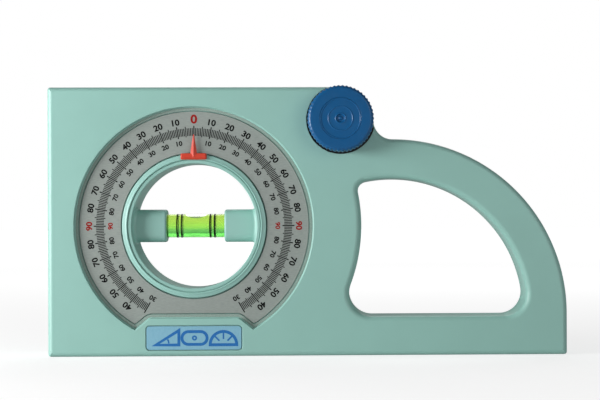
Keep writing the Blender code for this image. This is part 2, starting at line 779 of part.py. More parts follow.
def vial_line(number, x, parts, look):
    """Black reading line round the vial."""
    inner, outer = VIAL_R + GAP, VIAL_R + GAP + LINE_THICK
    low, high = x - LINE_WIDTH / 2, x + LINE_WIDTH / 2
    profile = ((outer, low), (outer, high), (inner, high), (inner, low))
    return rod(f"vial_line_{number}", profile, parts, look, steps=20)


def bore_plug(name, side, parts, look):
    """Cup-shaped plug that closes the vial's bore from outside the ring."""
    near, far = VIAL_HALF + GAP, RING_R - 0.6
    floor = near + PLUG_WALL
    hollow_r = VIAL_R - PLUG_WALL
    profile = [(0.0, near), (VIAL_R, near), (VIAL_R, far), (hollow_r, far), (hollow_r, floor), (0.0, floor)]
    if side < 0:
        profile = [(radius, -x) for radius, x in reversed(profile)]
    return rod(name, profile, parts, look, steps=20)


# ---------------------------------------------------------------- the knob and the gear train

def knob(parts, cutters, look):
    """Fluted hand wheel, hollow behind, with a hub for the spindle and a seat for its cap."""
    web = KNOB_FRONT + 1.5
    hollow = KNOB_FRONT + 3.0
    profile = (
        (CAP_R, KNOB_FRONT),
        (KNOB_R - 1.5, KNOB_FRONT),
        (KNOB_R - 0.4, KNOB_FRONT + 0.5),
        (KNOB_R + 0.5, KNOB_FRONT + 1.7),
        (KNOB_R + 0.5, KNOB_REAR - 0.6),
        (KNOB_R - 0.6, KNOB_REAR),
        (KNOB_R - 2.4, KNOB_REAR),
        (KNOB_R - 2.4, hollow),
        (HUB_R, hollow),
        (HUB_R, KNOB_REAR - HUB_REACH),
        (SPINDLE_R + GAP, KNOB_REAR - HUB_REACH),
        (SPINDLE_R + GAP, KNOB_FRONT + SOCKET_DEPTH),
        (SCREW_R + GAP, KNOB_FRONT + SOCKET_DEPTH),
        (SCREW_R + GAP, SCREW_SEAT),
        (SCREW_HEAD_R + GAP, SCREW_SEAT),
        (SCREW_HEAD_R + GAP, web),
        (CAP_R, web),
    )
    made = turned("knob", profile, KNOB, parts, look, steps=32)
    flutes = []
    for i in range(2 * FLUTES):
        radius = KNOB_R - FLUTE_DEPTH * (i % 2)
        flutes.append(polar(KNOB, radius, math.pi * i / FLUTES))
    around = slab([flutes], KNOB_FRONT - 1, KNOB_REAR + 1)
    cut(made, add_object("flutes_cut", around, cutters), "INTERSECT")
    return made


def knob_cap(parts, look):
    """Cap over the knob's screw, with a ring groove and a dimple."""
    radius = CAP_R - GAP
    front = KNOB_FRONT + 0.1
    profile = (
        (0.0, front + 0.6),
        (1.7, front + 0.6),
        (1.7, front),
        (radius - 0.3, front),
        (radius, front + 0.3),
        (radius, KNOB_FRONT + 1.2),
        (0.0, KNOB_FRONT + 1.2),
    )
    return turned("knob_cap", profile, KNOB, parts, look, steps=28, closed=False)


def knob_screw(parts, look):
    head = SCREW_SEAT - GAP
    profile = (
        (0.0, head - 1.4),
        (SCREW_HEAD_R, head - 1.4),
        (SCREW_HEAD_R, head),
        (SCREW_R, head),
        (SCREW_R, head + 8),
        (0.0, head + 8),
    )
    return turned("knob_screw", profile, KNOB, parts, look, steps=16, closed=False)


def drive_spindle(parts, look):
    """Steel spindle with a tapped front end and a clip groove."""
    front, rear = SPINDLE_ENDS
    tap_r = SCREW_R + GAP
    groove_front, groove_rear = CLIP_GROOVE
    profile = (
        (tap_r, front),
        (SPINDLE_R, front),
        (SPINDLE_R, groove_front),
        (CLIP_GROOVE_R, groove_front),
        (CLIP_GROOVE_R, groove_rear),
        (SPINDLE_R, groove_rear),
        (SPINDLE_R, rear),
        (0.0, rear),
        (0.0, front + TAP_DEPTH),
        (tap_r, front + TAP_DEPTH),
    )
    return turned("drive_spindle", profile, KNOB, parts, look, steps=16)


def drive_pinion(parts, look, phase):
    loops = [gear_outline(PINION_TEETH, KNOB, phase), circle(KNOB, SPINDLE_R + GAP, 20)]
    return add_object("drive_pinion", slab(loops, GEAR_FRONT, GEAR_REAR), parts, look, (KNOB_X, 0, KNOB_Z))


def spindle_bush_front(parts, look):
    flange_front, flange_rear = BUSH_FLANGE
    profile = (
        (BUSH_R, FRONT + GAP),
        (BUSH_R, flange_front),
        (BUSH_FLANGE_R, flange_front),
        (BUSH_FLANGE_R, flange_rear),
        (SPINDLE_R + GAP, flange_rear),
        (SPINDLE_R + GAP, FRONT + GAP),
    )
    return turned("spindle_bush_front", profile, KNOB, parts, look, steps=20)


def idler_gear(parts, look, centre, phase):
    loops = [gear_outline(IDLER_TEETH, centre, phase), circle(centre, PIN_R + GAP, 16)]
    mesh = slab(loops, GEAR_FRONT, GEAR_REAR)
    return add_object("idler_gear", mesh, parts, look, (centre[0], 0, centre[1]))


def spindle_circlip(parts, look):
    """Open retaining clip in the spindle's groove."""
    start, end = -90 + CLIP_OPENING, 270 - CLIP_OPENING
    outer = arc(KNOB, CLIP_R[1], start, end, 14)
    inner = arc(KNOB, CLIP_R[0], end, start, 12)
    return add_object("spindle_circlip", slab([outer + inner], *CLIP), parts, look, (KNOB_X, 0, KNOB_Z))


def build():
    clear_scene()
    parts = new_collection("hand_inclinometer")
    cutters = new_collection("cutters")
    mint, blue, red = mint_plastic(), blue_plastic(), red_plastic()
    steel, bronze, acetal = plated_steel(), sintered_bronze(), white_acetal()
    spring, acrylic, black = spring_steel(), clear_acrylic(), black_paint()
    idler, ring_phase, idler_phase, pinion_phase = gear_places()

    front_housing(parts, cutters, mint, idler)
    rear_housing(parts, cutters, mint, idler)
    for number, place in enumerate(SCREW_PLACES, 1):
        housing_screw(number, place, parts, steel)
    dial_plate(parts, dial_metal())
    badge_plate(parts, badge_foil())

    rotor_ring(parts, cutters, mint)
    ring_gear(parts, cutters, acetal, ring_phase)
    for number, place in enumerate(gear_screw_places(), 1):
        ring_gear_screw(number, place, parts, steel)
    pointer(parts, cutters, red)
    vial_tube(parts, acrylic)
    vial_liquid(parts, cutters, green_liquid())
    vial_stopper(parts, acrylic)
    for number, x in enumerate(VIAL_LINES, 1):
        vial_line(number, x, parts, black)
    bore_plug("vial_plug_left", -1, parts, black)
    bore_plug("vial_plug_right", 1, parts, black)

    knob(parts, cutters, blue)
    knob_cap(parts, blue)
    knob_screw(parts, steel)
    drive_spindle(parts, steel)
    drive_pinion(parts, acetal, pinion_phase)
    spindle_bush_front(parts, bronze)
    sleeve("spindle_bush_rear", SPINDLE_R + GAP, BUSH_R, *REAR_BUSH, KNOB, parts, bronze, steps=20)
    sleeve("knob_wave_washer", *WASHER_R, *WASHER, KNOB, parts, spring, steps=20)
    spindle_circlip(parts, spring)
    idler_gear(parts, acetal, idler, idler_phase)
    disc("idler_pin", PIN_R, *PIN_ENDS, idler, parts, steel, steps=16)


build()
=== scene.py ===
"""Looks of a hand inclinometer: fine meshes and procedural materials, built round its CAD frame.

Lengths are in millimetres and are turned into metres once, by MM, as each mesh is made. Places and
sizes come from the boxes of the CAD nodes; the sizes that no box gives repeat the CAD's own.
"""

import math

import bmesh
import bpy
from mathutils import Matrix, Vector


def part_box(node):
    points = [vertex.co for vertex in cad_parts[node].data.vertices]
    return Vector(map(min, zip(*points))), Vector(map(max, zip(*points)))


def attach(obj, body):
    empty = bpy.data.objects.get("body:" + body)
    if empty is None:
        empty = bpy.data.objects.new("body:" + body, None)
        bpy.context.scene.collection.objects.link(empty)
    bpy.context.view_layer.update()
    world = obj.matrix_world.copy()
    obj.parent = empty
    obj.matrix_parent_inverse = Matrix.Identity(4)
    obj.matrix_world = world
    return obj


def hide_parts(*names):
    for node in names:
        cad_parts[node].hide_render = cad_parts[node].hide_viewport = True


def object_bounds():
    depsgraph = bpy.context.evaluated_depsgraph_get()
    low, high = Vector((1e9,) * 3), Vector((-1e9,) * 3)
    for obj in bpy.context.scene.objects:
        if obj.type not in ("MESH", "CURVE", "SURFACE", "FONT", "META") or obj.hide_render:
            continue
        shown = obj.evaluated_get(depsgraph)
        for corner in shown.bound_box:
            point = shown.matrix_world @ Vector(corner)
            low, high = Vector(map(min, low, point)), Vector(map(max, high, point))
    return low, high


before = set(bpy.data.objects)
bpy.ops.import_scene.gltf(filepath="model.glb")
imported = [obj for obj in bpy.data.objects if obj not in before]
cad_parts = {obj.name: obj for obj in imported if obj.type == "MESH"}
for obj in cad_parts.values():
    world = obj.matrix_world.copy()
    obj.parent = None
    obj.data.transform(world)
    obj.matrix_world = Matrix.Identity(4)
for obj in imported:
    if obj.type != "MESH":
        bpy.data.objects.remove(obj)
cad_low, cad_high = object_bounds()

MM = 0.001


def extent(node):
    """Lowest and highest corner of a CAD node, in millimetres."""
    low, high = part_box(node)
    return low / MM, high / MM


def middle(node):
    """The x and z of a CAD node's middle."""
    low, high = extent(node)
    return ((low.x + high.x) / 2, (low.z + high.z) / 2)


# ---- sizes read from the frame

FRONT_LOW, FRONT_HIGH = extent("front_housing")
REAR_HIGH = extent("rear_housing")[1]
RING_LOW, RING_HIGH = extent("rotor_ring")
PLATE_LOW, PLATE_HIGH = extent("dial_plate")
BADGE_LOW, BADGE_HIGH = extent("badge_plate")
KNOB_LOW, KNOB_HIGH = extent("knob")
CAP_LOW, CAP_HIGH = extent("knob_cap")
TUBE_LOW, TUBE_HIGH = extent("vial_tube")
POINTER_LOW, POINTER_HIGH = extent("pointer")
SCREW_LOW, SCREW_HIGH = extent("housing_screw_1")

GAP = 0.3  # between pieces that rest on each other
LEFT = FRONT_LOW.x
RIGHT = FRONT_HIGH.x
HEIGHT = FRONT_LOW.z + 114.0
FRONT = FRONT_LOW.y
REAR = REAR_HIGH.y
PARTING = FRONT_HIGH.y + GAP / 2
DIAL = middle("rotor_ring")
DIAL_X, DIAL_Z = DIAL
KNOB = middle("knob")
KNOB_X, KNOB_Z = KNOB
IDLER = middle("idler_pin")
SCREW_PLACES = [middle(f"housing_screw_{number}") for number in range(1, 9)]
GEAR_SCREW_PLACES = [middle(f"ring_gear_screw_{number}") for number in range(1, 5)]

# ---- sizes repeated from the CAD, or read where a box gives them

WALL = 2.2
EDGE = 2.2  # rounding of the outer edges
HAND_EDGE = 2.6  # rounding of the hand hole's edges
CORNER = 1.2  # rounding of the square corners, in plan
BREAK = 0.25  # small chamfer at the joint between the shells
REBATE = (1.0, WALL + 0.2, 1.65)  # outer inset, inner inset, and depth in front of the joint
TONGUE = (1.3, WALL - 0.1, 1.35)

RECESS_R = 50.5
RECESS_END_ANGLE = 150.3
STEP_Z = 16.15
STEP_HALF = 19.0
STEP_ROUND = 2.5
PLATE_LEDGE = 1.9
PLATE_BORE_R = 31.0
RECESS_FLOOR = PLATE_LOW.y
SEAT_FLOOR = PLATE_HIGH.y + GAP
FLOOR_REAR = SEAT_FLOOR + 1.8

HOLE_R = 26.5
RING_R = 30.5
LIP_R = 28.2
LIP_FRONT = RING_LOW.y
RING_REAR = RING_HIGH.y
FLANGE_R = (RING_HIGH.x - RING_LOW.x) / 2
GEAR_FRONT, GEAR_REAR = (corner.y for corner in extent("ring_gear"))

BOSS_R = 7.0
BOSS_END = 12.4
VIAL_R = (TUBE_HIGH.z - TUBE_LOW.z) / 2
VIAL_HALF = (TUBE_HIGH.x - TUBE_LOW.x) / 2
VIAL_WALL = 0.8

KNOB_R = 14.0
KNOB_FRONT = KNOB_LOW.y
KNOB_REAR = KNOB_HIGH.y
FLUTES = 50
CAP_R = (CAP_HIGH.x - CAP_LOW.x) / 2 + GAP
CORNER_R = 13.9
SPINDLE_R = 3.0
SPINDLE_BOSS_R = SPINDLE_R + 3.5
BUSH_R = SPINDLE_R + 1.8
PIN_R = 2.0
PIN_BOSS_R = PIN_R + 2.2

GRIP_R = 74.1
GRIP_X = RIGHT - GRIP_R
GRIP_Z = 17.65
HAND_R = 57.4
HAND_DIAL_R = 70.9
HAND_FLOOR = 16.5
HAND_TOP_ROUND = 4.2
HAND_LOW_LEFT_ROUND = 10.0
HAND_LOW_RIGHT_ROUND = 9.5

BADGE_X = (BADGE_LOW.x - GAP, BADGE_HIGH.x + GAP)
BADGE_Z = (BADGE_LOW.z - GAP, BADGE_HIGH.z + GAP)
BADGE_ROUND = 1.7
BADGE_RECESS = 1.0

PILLAR_R = 3.6
SCREW_HEAD_R = 2.5
SCREW_R = 1.25
SCREW_TIP = SCREW_LOW.y
SCREW_HEAD_REAR = SCREW_HIGH.y
SCREW_HEAD_FRONT = SCREW_HEAD_REAR - 1.7

PEG_X = 3.4
PEG_R = 29.4

# ---- choices made for the look alone

INK = 0.03  # thickness of a print
SUNK = 0.01  # how deep a print sits in what it is printed on
SCALE_END = 150
TICK_WIDTH = 0.37
DEGREE_TICK = (38.2, 41.5)  # inner and outer radius
FIVE_TICK = (37.7, 42.2)
TEN_TICK = (37.4, 42.5)
ZERO_NUMERAL = (45.3, 3.9)  # radius and height
OUTER_NUMERALS = (44.4, 2.7)
INNER_NUMERALS = (35.4, 2.1)
NUMERAL_WIDTH = 1.1  # of the font's own
NUMERAL_WEIGHT = 0.034  # added round the font's strokes
NUMERAL_DEPTH = 0.02  # of a number's mesh, before it is sized

LEDGE_FRONT = LIP_FRONT + 0.45
SQUARENESS = 3.6  # 2 for a round boss, more for a squarer one
FLUID_R = VIAL_R - VIAL_WALL + 0.03  # wets the wall, so that no air shows between them
BUBBLE_LENGTH = 9.2
BUBBLE_WIDTH = 6.8
BUBBLE_DEPTH = 1.75

FLUTE_DEPTH = 0.32  # shallower than in the CAD
POCKET_DEPTH = 1.0  # of the pocket under the knob


# ---- plane geometry, in x and z

def polar(centre, radius, angle):
    """The point at a radius and an angle in radians, from +X towards +Z."""
    return (centre[0] + radius * math.cos(angle), centre[1] + radius * math.sin(angle))


def arc(centre, radius, start, end, count):
    """Points on a circle, from one angle to another in degrees, both ends included."""
    step = (end - start) / (count - 1)
    return [polar(centre, radius, math.radians(start + step * i)) for i in range(count)]


def heading(start, end):
    """Angle from one point to another, in degrees."""
    return math.degrees(math.atan2(end[1] - start[1], end[0] - start[0]))


def meeting(first, first_radius, second, second_radius, side):
    """Where two circles cross: on the left of the line between them if side is 1, else right."""
    across = (second[0] - first[0], second[1] - first[1])
    distance = math.hypot(*across)
    along = (first_radius**2 - second_radius**2 + distance**2) / (2 * distance)
    height = side * math.sqrt(first_radius**2 - along**2)
    unit = (across[0] / distance, across[1] / distance)
    return (first[0] + along * unit[0] - height * unit[1], first[1] + along * unit[1] + height * unit[0])


def body_outline(inset):
    """Outer outline of the body, moved inwards by inset. Counter-clockwise from the low left corner."""
    left, right, low, high = LEFT + inset, RIGHT - inset, inset, HEIGHT - inset
    corner = max(CORNER - inset, 0.05)
    grip = (GRIP_X, GRIP_Z)
    across = GRIP_X - KNOB_X
    rise = GRIP_Z + GRIP_R - KNOB_Z
    notch_r = (across**2 + rise**2 - CORNER_R**2) / (2 * (CORNER_R - rise))
    notch = (GRIP_X, GRIP_Z + GRIP_R + notch_r)
    touch = heading(KNOB, notch)
    points = arc((left + corner, low + corner), corner, 180, 270, 7)
    points += arc((right - corner, low + corner), corner, 270, 360, 7)
    points += arc(grip, GRIP_R - inset, 0, 90, 90)
    points += arc(notch, notch_r + inset, -90, touch - 180, 20)[1:]
    points += arc(KNOB, CORNER_R - inset, touch, 90, 30)[1:]
    points += arc((left + corner, high - corner), corner, 90, 180, 7)
    return points


def hand_outline(grow):
    """Outline of the hand hole, widened all round by grow. Counter-clockwise from the low left."""
    grip = (GRIP_X, GRIP_Z)
    floor = HAND_FLOOR - grow
    outer_r = HAND_R + grow
    dial_r = HAND_DIAL_R - grow
    top_r = HAND_TOP_ROUND + grow
    left_r = HAND_LOW_LEFT_ROUND + grow
    right_r = HAND_LOW_RIGHT_ROUND + grow
    left_z = floor + left_r
    left = (DIAL_X + math.sqrt((dial_r + left_r) ** 2 - (left_z - DIAL_Z) ** 2), left_z)
    right_z = floor + right_r
    right = (GRIP_X + math.sqrt((outer_r - right_r) ** 2 - (right_z - GRIP_Z) ** 2), right_z)
    top = meeting(DIAL, dial_r + top_r, grip, outer_r - top_r, 1)
    points = arc(left, left_r, heading(left, DIAL), 270, 24)
    points += arc(right, right_r, -90, heading(grip, right), 24)
    points += arc(grip, outer_r, heading(grip, right), heading(grip, top), 72)[1:]
    points += arc(top, top_r, heading(grip, top), heading(top, DIAL) + 360, 24)[1:]
    points += arc(DIAL, dial_r, heading(DIAL, top), heading(DIAL, left), 30)[1:-1]
    return points


def dial_outline(inset, steps=240):
    """Dial recess: a circle cut off by the label step, moved inwards by inset."""
    radius = RECESS_R - inset
    edge = STEP_Z + inset
    run = math.radians(180 - RECESS_END_ANGLE)
    low = (DIAL_X + RECESS_R * math.sin(run), DIAL_Z - RECESS_R * math.cos(run))
    corner = (DIAL_X + STEP_HALF, STEP_Z)
    slope = math.atan2(corner[1] - low[1], low[0] - corner[0])
    corner = (corner[0] + inset * math.tan(slope / 2), edge)
    direction = (math.cos(slope), -math.sin(slope))
    offset = (corner[0] - DIAL_X, corner[1] - DIAL_Z)
    b = offset[0] * direction[0] + offset[1] * direction[1]
    reach = -b + math.sqrt(b * b - offset[0] ** 2 - offset[1] ** 2 + radius**2)
    end = (corner[0] + reach * direction[0], corner[1] + reach * direction[1])
    start_angle = heading(DIAL, end)
    points = arc(DIAL, radius, start_angle, 180 - start_angle, steps)
    rounding = STEP_ROUND + inset
    back = rounding * math.tan(slope / 2)
    right_centre = (corner[0] - back, edge - rounding)
    left_centre = (2 * DIAL_X - right_centre[0], right_centre[1])
    points += arc(left_centre, rounding, 90 + math.degrees(slope), 90, 9)
    points += arc(right_centre, rounding, 90, 90 - math.degrees(slope), 9)
    return points


def box_outline(x_range, z_range, radius):
    """Outline function of a rectangle with round corners, taking an inset."""
    def outline(inset):
        left, right = x_range[0] + inset, x_range[1] - inset
        low, high = z_range[0] + inset, z_range[1] - inset
        corner = max(radius - inset, 0.02)
        x_pair, z_pair = (left + corner, right - corner), (low + corner, high - corner)
        points = []
        for i, (across, up) in enumerate(((1, 1), (0, 1), (0, 0), (1, 0))):
            points += arc((x_pair[across], z_pair[up]), corner, 90 * i, 90 * i + 90, 9)
        return points
    return outline


def round_steps(radius, count):
    """Quarter round from flat to upright, as steps of (along the face, into the piece)."""
    turns = [math.pi / 2 * i / count for i in range(count + 1)]
    return [(radius * math.sin(turn), radius * (1 - math.cos(turn))) for turn in turns]


def quarter(radius, count, start_inset, start_y, outwards):
    """Steps of (inset, y) on a quarter round that starts flat, in a face, and ends upright.

    outwards is 1 where y grows away from the face into the piece, and -1 for a rear face.
    """
    return [(start_inset - along, start_y + outwards * deep) for along, deep in round_steps(radius, count)]


def inner_round(radius, count, face):
    """Steps of (inset, y) of a cutter that rounds the edge of a hole in the front face."""
    return [(along, face + deep) for along, deep in round_steps(radius, count)]


def rear_round(radius, count, face):
    """Steps of (grow, y) of a cutter that rounds a hole's edge in the rear face, or a recess's foot."""
    return [(deep, face - radius + along) for along, deep in round_steps(radius, count)]


# ---- making meshes

scratch = bpy.data.collections.new("scratch")
bpy.context.scene.collection.children.link(scratch)


def mesh_object(name, shape):
    """Turns a bmesh in millimetres into an object in metres."""
    bmesh.ops.remove_doubles(shape, verts=shape.verts, dist=1e-4)
    bmesh.ops.dissolve_degenerate(shape, edges=shape.edges, dist=1e-5)
    bmesh.ops.recalc_face_normals(shape, faces=shape.faces)
    bmesh.ops.scale(shape, vec=(MM, MM, MM), verts=shape.verts)
    mesh = bpy.data.meshes.new(name)
    shape.to_mesh(mesh)
    shape.free()
    result = bpy.data.objects.new(name, mesh)
    scratch.objects.link(result)
    return result


def weave(shape, rings, ends):
    """Adds a surface through rings of points. Its ends are "capped" or "joined", or each a "point"."""
    loops = [[shape.verts.new(point) for point in ring] for ring in rings]
    pairs = list(zip(loops, loops[1:]))
    if ends == "joined":
        pairs.append((loops[-1], loops[0]))
    for one, other in pairs:
        for i in range(len(one)):
            j = (i + 1) % len(one)
            shape.faces.new((one[i], one[j], other[j], other[i]))
    if ends == "capped":
        shape.faces.new(loops[0])
        shape.faces.new(list(reversed(loops[-1])))


def skin(name, rings, ends="capped"):
    """A piece whose surface goes through rings of points."""
    shape = bmesh.new()
    weave(shape, rings, ends)
    return mesh_object(name, shape)


def layered(name, outline, steps):
    """A solid whose section at each y is an outline with its own inset."""
    return skin(name, [[(x, y, z) for x, z in outline(inset)] for inset, y in steps])


def softened(corners, count=4):
    """A profile with rounded corners, each (radius, y, rounding), with rounding 0 for a sharp one."""
    points = []
    total = len(corners)
    for i, (r, y, rounding) in enumerate(corners):
        here = Vector((r, y))
        before = Vector(corners[i - 1][:2])
        after = Vector(corners[(i + 1) % total][:2])
        if rounding <= 0:
            points.append((r, y))
            continue
        to_before = (before - here).normalized()
        to_after = (after - here).normalized()
        half = to_before.angle(to_after) / 2
        reach = rounding / math.tan(half)
        start = here + to_before * reach
        centre = here + (to_before + to_after).normalized() * (rounding / math.sin(half))
        spoke = start - centre
        sweep = math.pi - 2 * half
        if to_before.x * to_after.y - to_before.y * to_after.x > 0:
            sweep = -sweep
        for k in range(count + 1):
            turn = sweep * k / count
            points.append((
                centre.x + spoke.x * math.cos(turn) - spoke.y * math.sin(turn),
                centre.y + spoke.x * math.sin(turn) + spoke.y * math.cos(turn),
            ))
    return points


def full_turn(steps):
    """Angles in equal steps round a circle."""
    return [2 * math.pi * i / steps for i in range(steps)]


def turned(name, profile, centre, steps=96, ends="joined"):
    """A turned piece on an axis along Y, from a profile of (radius, y)."""
    x, z = centre
    turns = full_turn(steps)
    rings = [[(x + r * math.cos(turn), y, z + r * math.sin(turn)) for turn in turns] for r, y in profile]
    return skin(name, rings, ends)


def disc(name, radius, front, rear, centre, steps=96):
    """A plain disc or pin along Y."""
    return turned(name, ((0, front), (radius, front), (radius, rear), (0, rear)), centre, steps, "point")


def rod(name, profile, ends="point"):
    """A turned piece on the vial's axis, from a profile of (radius, x from the dial's middle)."""
    turns = full_turn(96)
    rings = [
        [(DIAL_X + x, r * math.cos(turn), DIAL_Z + r * math.sin(turn)) for turn in turns]
        for r, x in profile
    ]
    return skin(name, rings, ends)


def combine(target, cutter, operation="DIFFERENCE"):
    """Applies a Boolean and removes its cutter."""
    boolean = target.modifiers.new("cut", "BOOLEAN")
    boolean.operation = operation
    boolean.solver = "MANIFOLD"
    boolean.object = cutter
    graph = bpy.context.evaluated_depsgraph_get()
    mesh = bpy.data.meshes.new_from_object(target.evaluated_get(graph))
    target.modifiers.clear()
    target.data = mesh
    bpy.data.objects.remove(cutter)
    return target


def cut(target, *cutters):
    """Takes the cutters out of a piece."""
    for cutter in cutters:
        combine(target, cutter)


def join(target, *others):
    """Adds other pieces to a piece."""
    for other in others:
        combine(target, other, "UNION")


def finished(piece, body, look, replaces=(), sharp=32):
    """Gives a piece its shading, material and body, and hides the CAD nodes it replaces."""
    mesh = piece.data
    mesh.shade_smooth()
    mesh.set_sharp_from_angle(angle=math.radians(sharp))
    mesh.materials.clear()
    mesh.materials.append(look)
    weighted = piece.modifiers.new("normals", "WEIGHTED_NORMAL")
    weighted.keep_sharp = True
    weighted.weight = 100
    scratch.objects.unlink(piece)
    bpy.context.scene.collection.objects.link(piece)
    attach(piece, body)
    if replaces:
        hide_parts(*replaces)
    return piece


# ---- materials

NOISE_LOW, NOISE_HIGH = 0.3, 0.7  # where most of a noise texture's values lie


def srgb(red, green, blue):
    """Linear colour from display values of 0 to 255."""
    values = []
    for value in (red, green, blue):
        share = value / 255
        values.append(share / 12.92 if share <= 0.04045 else ((share + 0.055) / 1.055) ** 2.4)
    return (*values, 1.0)


def add_node(tree, kind, **inputs):
    """A new shader node, with values on its inputs, whose names have _ for a space."""
    node = tree.nodes.new(kind)
    for name, value in inputs.items():
        node.inputs[name.replace("_", " ")].default_value = value
    return node


class Nodes:
    """A material being built round its Principled shader."""

    def __init__(self, name):
        self.material = bpy.data.materials.new(name)
        self.material.use_nodes = True
        self.tree = self.material.node_tree
        self.shader = self.tree.nodes["Principled BSDF"]
        self.place = self.tree.nodes.new("ShaderNodeTexCoord").outputs["Object"]

    def set(self, **values):
        for name, value in values.items():
            self.shader.inputs[name.replace("_", " ")].default_value = value

    def link(self, output, name):
        self.tree.links.new(output, self.shader.inputs[name])

    def noise(self, size_mm, detail=2.0, stretch=(1, 1, 1)):
        """Noise whose features are about size_mm across."""
        spread = add_node(self.tree, "ShaderNodeMapping", Scale=stretch)
        self.tree.links.new(self.place, spread.inputs["Vector"])
        texture = add_node(self.tree, "ShaderNodeTexNoise", Scale=1000.0 / size_mm, Detail=detail)
        self.tree.links.new(spread.outputs["Vector"], texture.inputs["Vector"])
        return texture.outputs["Fac"]

    def height(self, low, high, waver):
        """Height in the object, from 0 at low to 1 at high in millimetres, a little uneven."""
        split = self.tree.nodes.new("ShaderNodeSeparateXYZ")
        self.tree.links.new(self.place, split.inputs["Vector"])
        share = add_node(self.tree, "ShaderNodeMapRange", From_Min=low * MM, From_Max=high * MM)
        self.tree.links.new(split.outputs["Z"], share.inputs["Value"])
        uneven = self.tree.nodes.new("ShaderNodeMath")
        uneven.operation = "MULTIPLY_ADD"
        uneven.inputs[1].default_value = waver
        self.tree.links.new(self.noise(7.0, 2.0, (0.3, 1, 1)), uneven.inputs[0])
        self.tree.links.new(share.outputs["Result"], uneven.inputs[2])
        return uneven.outputs["Value"]

    def ramp(self, value, stops):
        """Colour ramp from (position, colour) stops."""
        node = self.tree.nodes.new("ShaderNodeValToRGB")
        elements = node.color_ramp.elements
        while len(elements) < len(stops):
            elements.new(0.5)
        for element, (position, colour) in zip(elements, stops):
            element.position = position
            element.color = colour
        self.tree.links.new(value, node.inputs["Fac"])
        return node.outputs["Color"]

    def colour(self, noise, dark, light):
        """Base colour that follows noise, which stays round 0.5, from dark to light."""
        self.link(self.ramp(noise, ((NOISE_LOW, dark), (NOISE_HIGH, light))), "Base Color")

    def gloss(self, noise, low, high):
        """Roughness that follows noise from low to high."""
        node = add_node(
            self.tree, "ShaderNodeMapRange", From_Min=NOISE_LOW, From_Max=NOISE_HIGH, To_Min=low, To_Max=high)
        self.tree.links.new(noise, node.inputs["Value"])
        self.link(node.outputs["Result"], "Roughness")

    def bump(self, *layers):
        """Stacks bump layers of (height, depth in mm)."""
        normal = None
        for height, depth in layers:
            node = add_node(self.tree, "ShaderNodeBump", Distance=depth * MM, Strength=1.0)
            self.tree.links.new(height, node.inputs["Height"])
            if normal is not None:
                self.tree.links.new(normal, node.inputs["Normal"])
            normal = node.outputs["Normal"]
        self.link(normal, "Normal")


def tint(colour, factor):
    """A colour made lighter or darker."""
    return (*(min(1.0, part * factor) for part in colour[:3]), 1.0)


def moulded(name, colour, roughness, variation, grain_mm=0.35, grain_depth=0.004):
    """Moulded plastic: fine spark-eroded grain, faint flow mottling and uneven gloss."""
    look = Nodes(name)
    look.set(Roughness=roughness)
    look.colour(look.noise(18.0, 3.0), tint(colour, 1 - variation), tint(colour, 1 + variation))
    look.gloss(look.noise(2.5), roughness - 0.04, roughness + 0.04)
    look.bump((look.noise(6.0), grain_depth * 3), (look.noise(grain_mm), grain_depth))
    return look.material


def dial_metal():
    """Matt silver print on sheet aluminium, with a fine horizontal grain."""
    look = Nodes("dial_metal")
    look.set(Metallic=0.35, Roughness=0.5)
    grain = look.noise(0.25, 3.0, (0.12, 1, 1))
    look.colour(grain, srgb(150, 158, 153), srgb(166, 174, 169))
    look.gloss(look.noise(3.0, 3.0), 0.46, 0.56)
    look.bump((grain, 0.0015), (look.noise(0.15), 0.001))
    return look.material


def print_ink(name, colour):
    """Screen-printed ink: a little uneven in tone and gloss."""
    look = Nodes(name)
    look.set(Specular_IOR_Level=0.2)
    tone = look.noise(0.4, 3.0)
    look.colour(tone, tint(colour, 0.85), tint(colour, 1.2))
    look.gloss(look.noise(0.3), 0.4, 0.6)
    look.bump((tone, 0.002))
    return look.material


def badge_foil():
    """Printed film, with faint upright streaks."""
    look = Nodes("badge_foil")
    look.colour(look.noise(0.3, 2.0, (1, 1, 0.2)), srgb(128, 180, 202), srgb(137, 188, 208))
    look.gloss(look.noise(4.0), 0.3, 0.4)
    look.bump((look.noise(0.5), 0.002))
    return look.material


def vial_acrylic():
    """Clear acrylic with the faintest unevenness."""
    look = Nodes("vial_acrylic")
    look.set(Transmission_Weight=1.0, IOR=1.49, Roughness=0.02)
    look.colour(look.noise(5.0), srgb(238, 244, 230), srgb(244, 250, 236))
    look.gloss(look.noise(1.5), 0.015, 0.035)
    look.bump((look.noise(8.0, 1.0), 0.01))
    return look.material


def vial_fluid():
    """Tinted spirit with painted light: lighter and yellower towards the top, darker and greener below, and a
    faint painted glow in the same colours.
    """
    look = Nodes("vial_fluid")
    # The emission is a painted glow: the fluid lights itself in the ramp's colours.
    look.set(Transmission_Weight=0.9, IOR=1.36, Roughness=0.03, Emission_Strength=0.06)
    height = look.height(TUBE_LOW.z, TUBE_HIGH.z, 0.06)
    # Painted light: the colour runs lighter and yellower up the tube, and darker and greener towards the
    # bottom.
    colour = look.ramp(height, (
        (0.0, srgb(132, 196, 108)), (0.14, srgb(104, 190, 92)), (0.38, srgb(112, 208, 106)),
        (0.46, srgb(166, 240, 96)), (0.72, srgb(212, 250, 104)), (1.0, srgb(238, 252, 150)),
    ))
    look.link(colour, "Base Color")
    look.link(colour, "Emission Color")
    look.gloss(look.noise(3.0), 0.02, 0.05)
    return look.material


def vial_air():
    """The bubble: clear, with a painted grey shade that is a little uneven in tone."""
    look = Nodes("vial_air")
    look.set(Transmission_Weight=1.0, IOR=1.01, Roughness=0.05)
    # Painted shade: air has no colour, so this grey stands in for the shading of the bubble's surface.
    look.colour(look.noise(2.0), srgb(172, 174, 162), srgb(186, 187, 176))
    return look.material


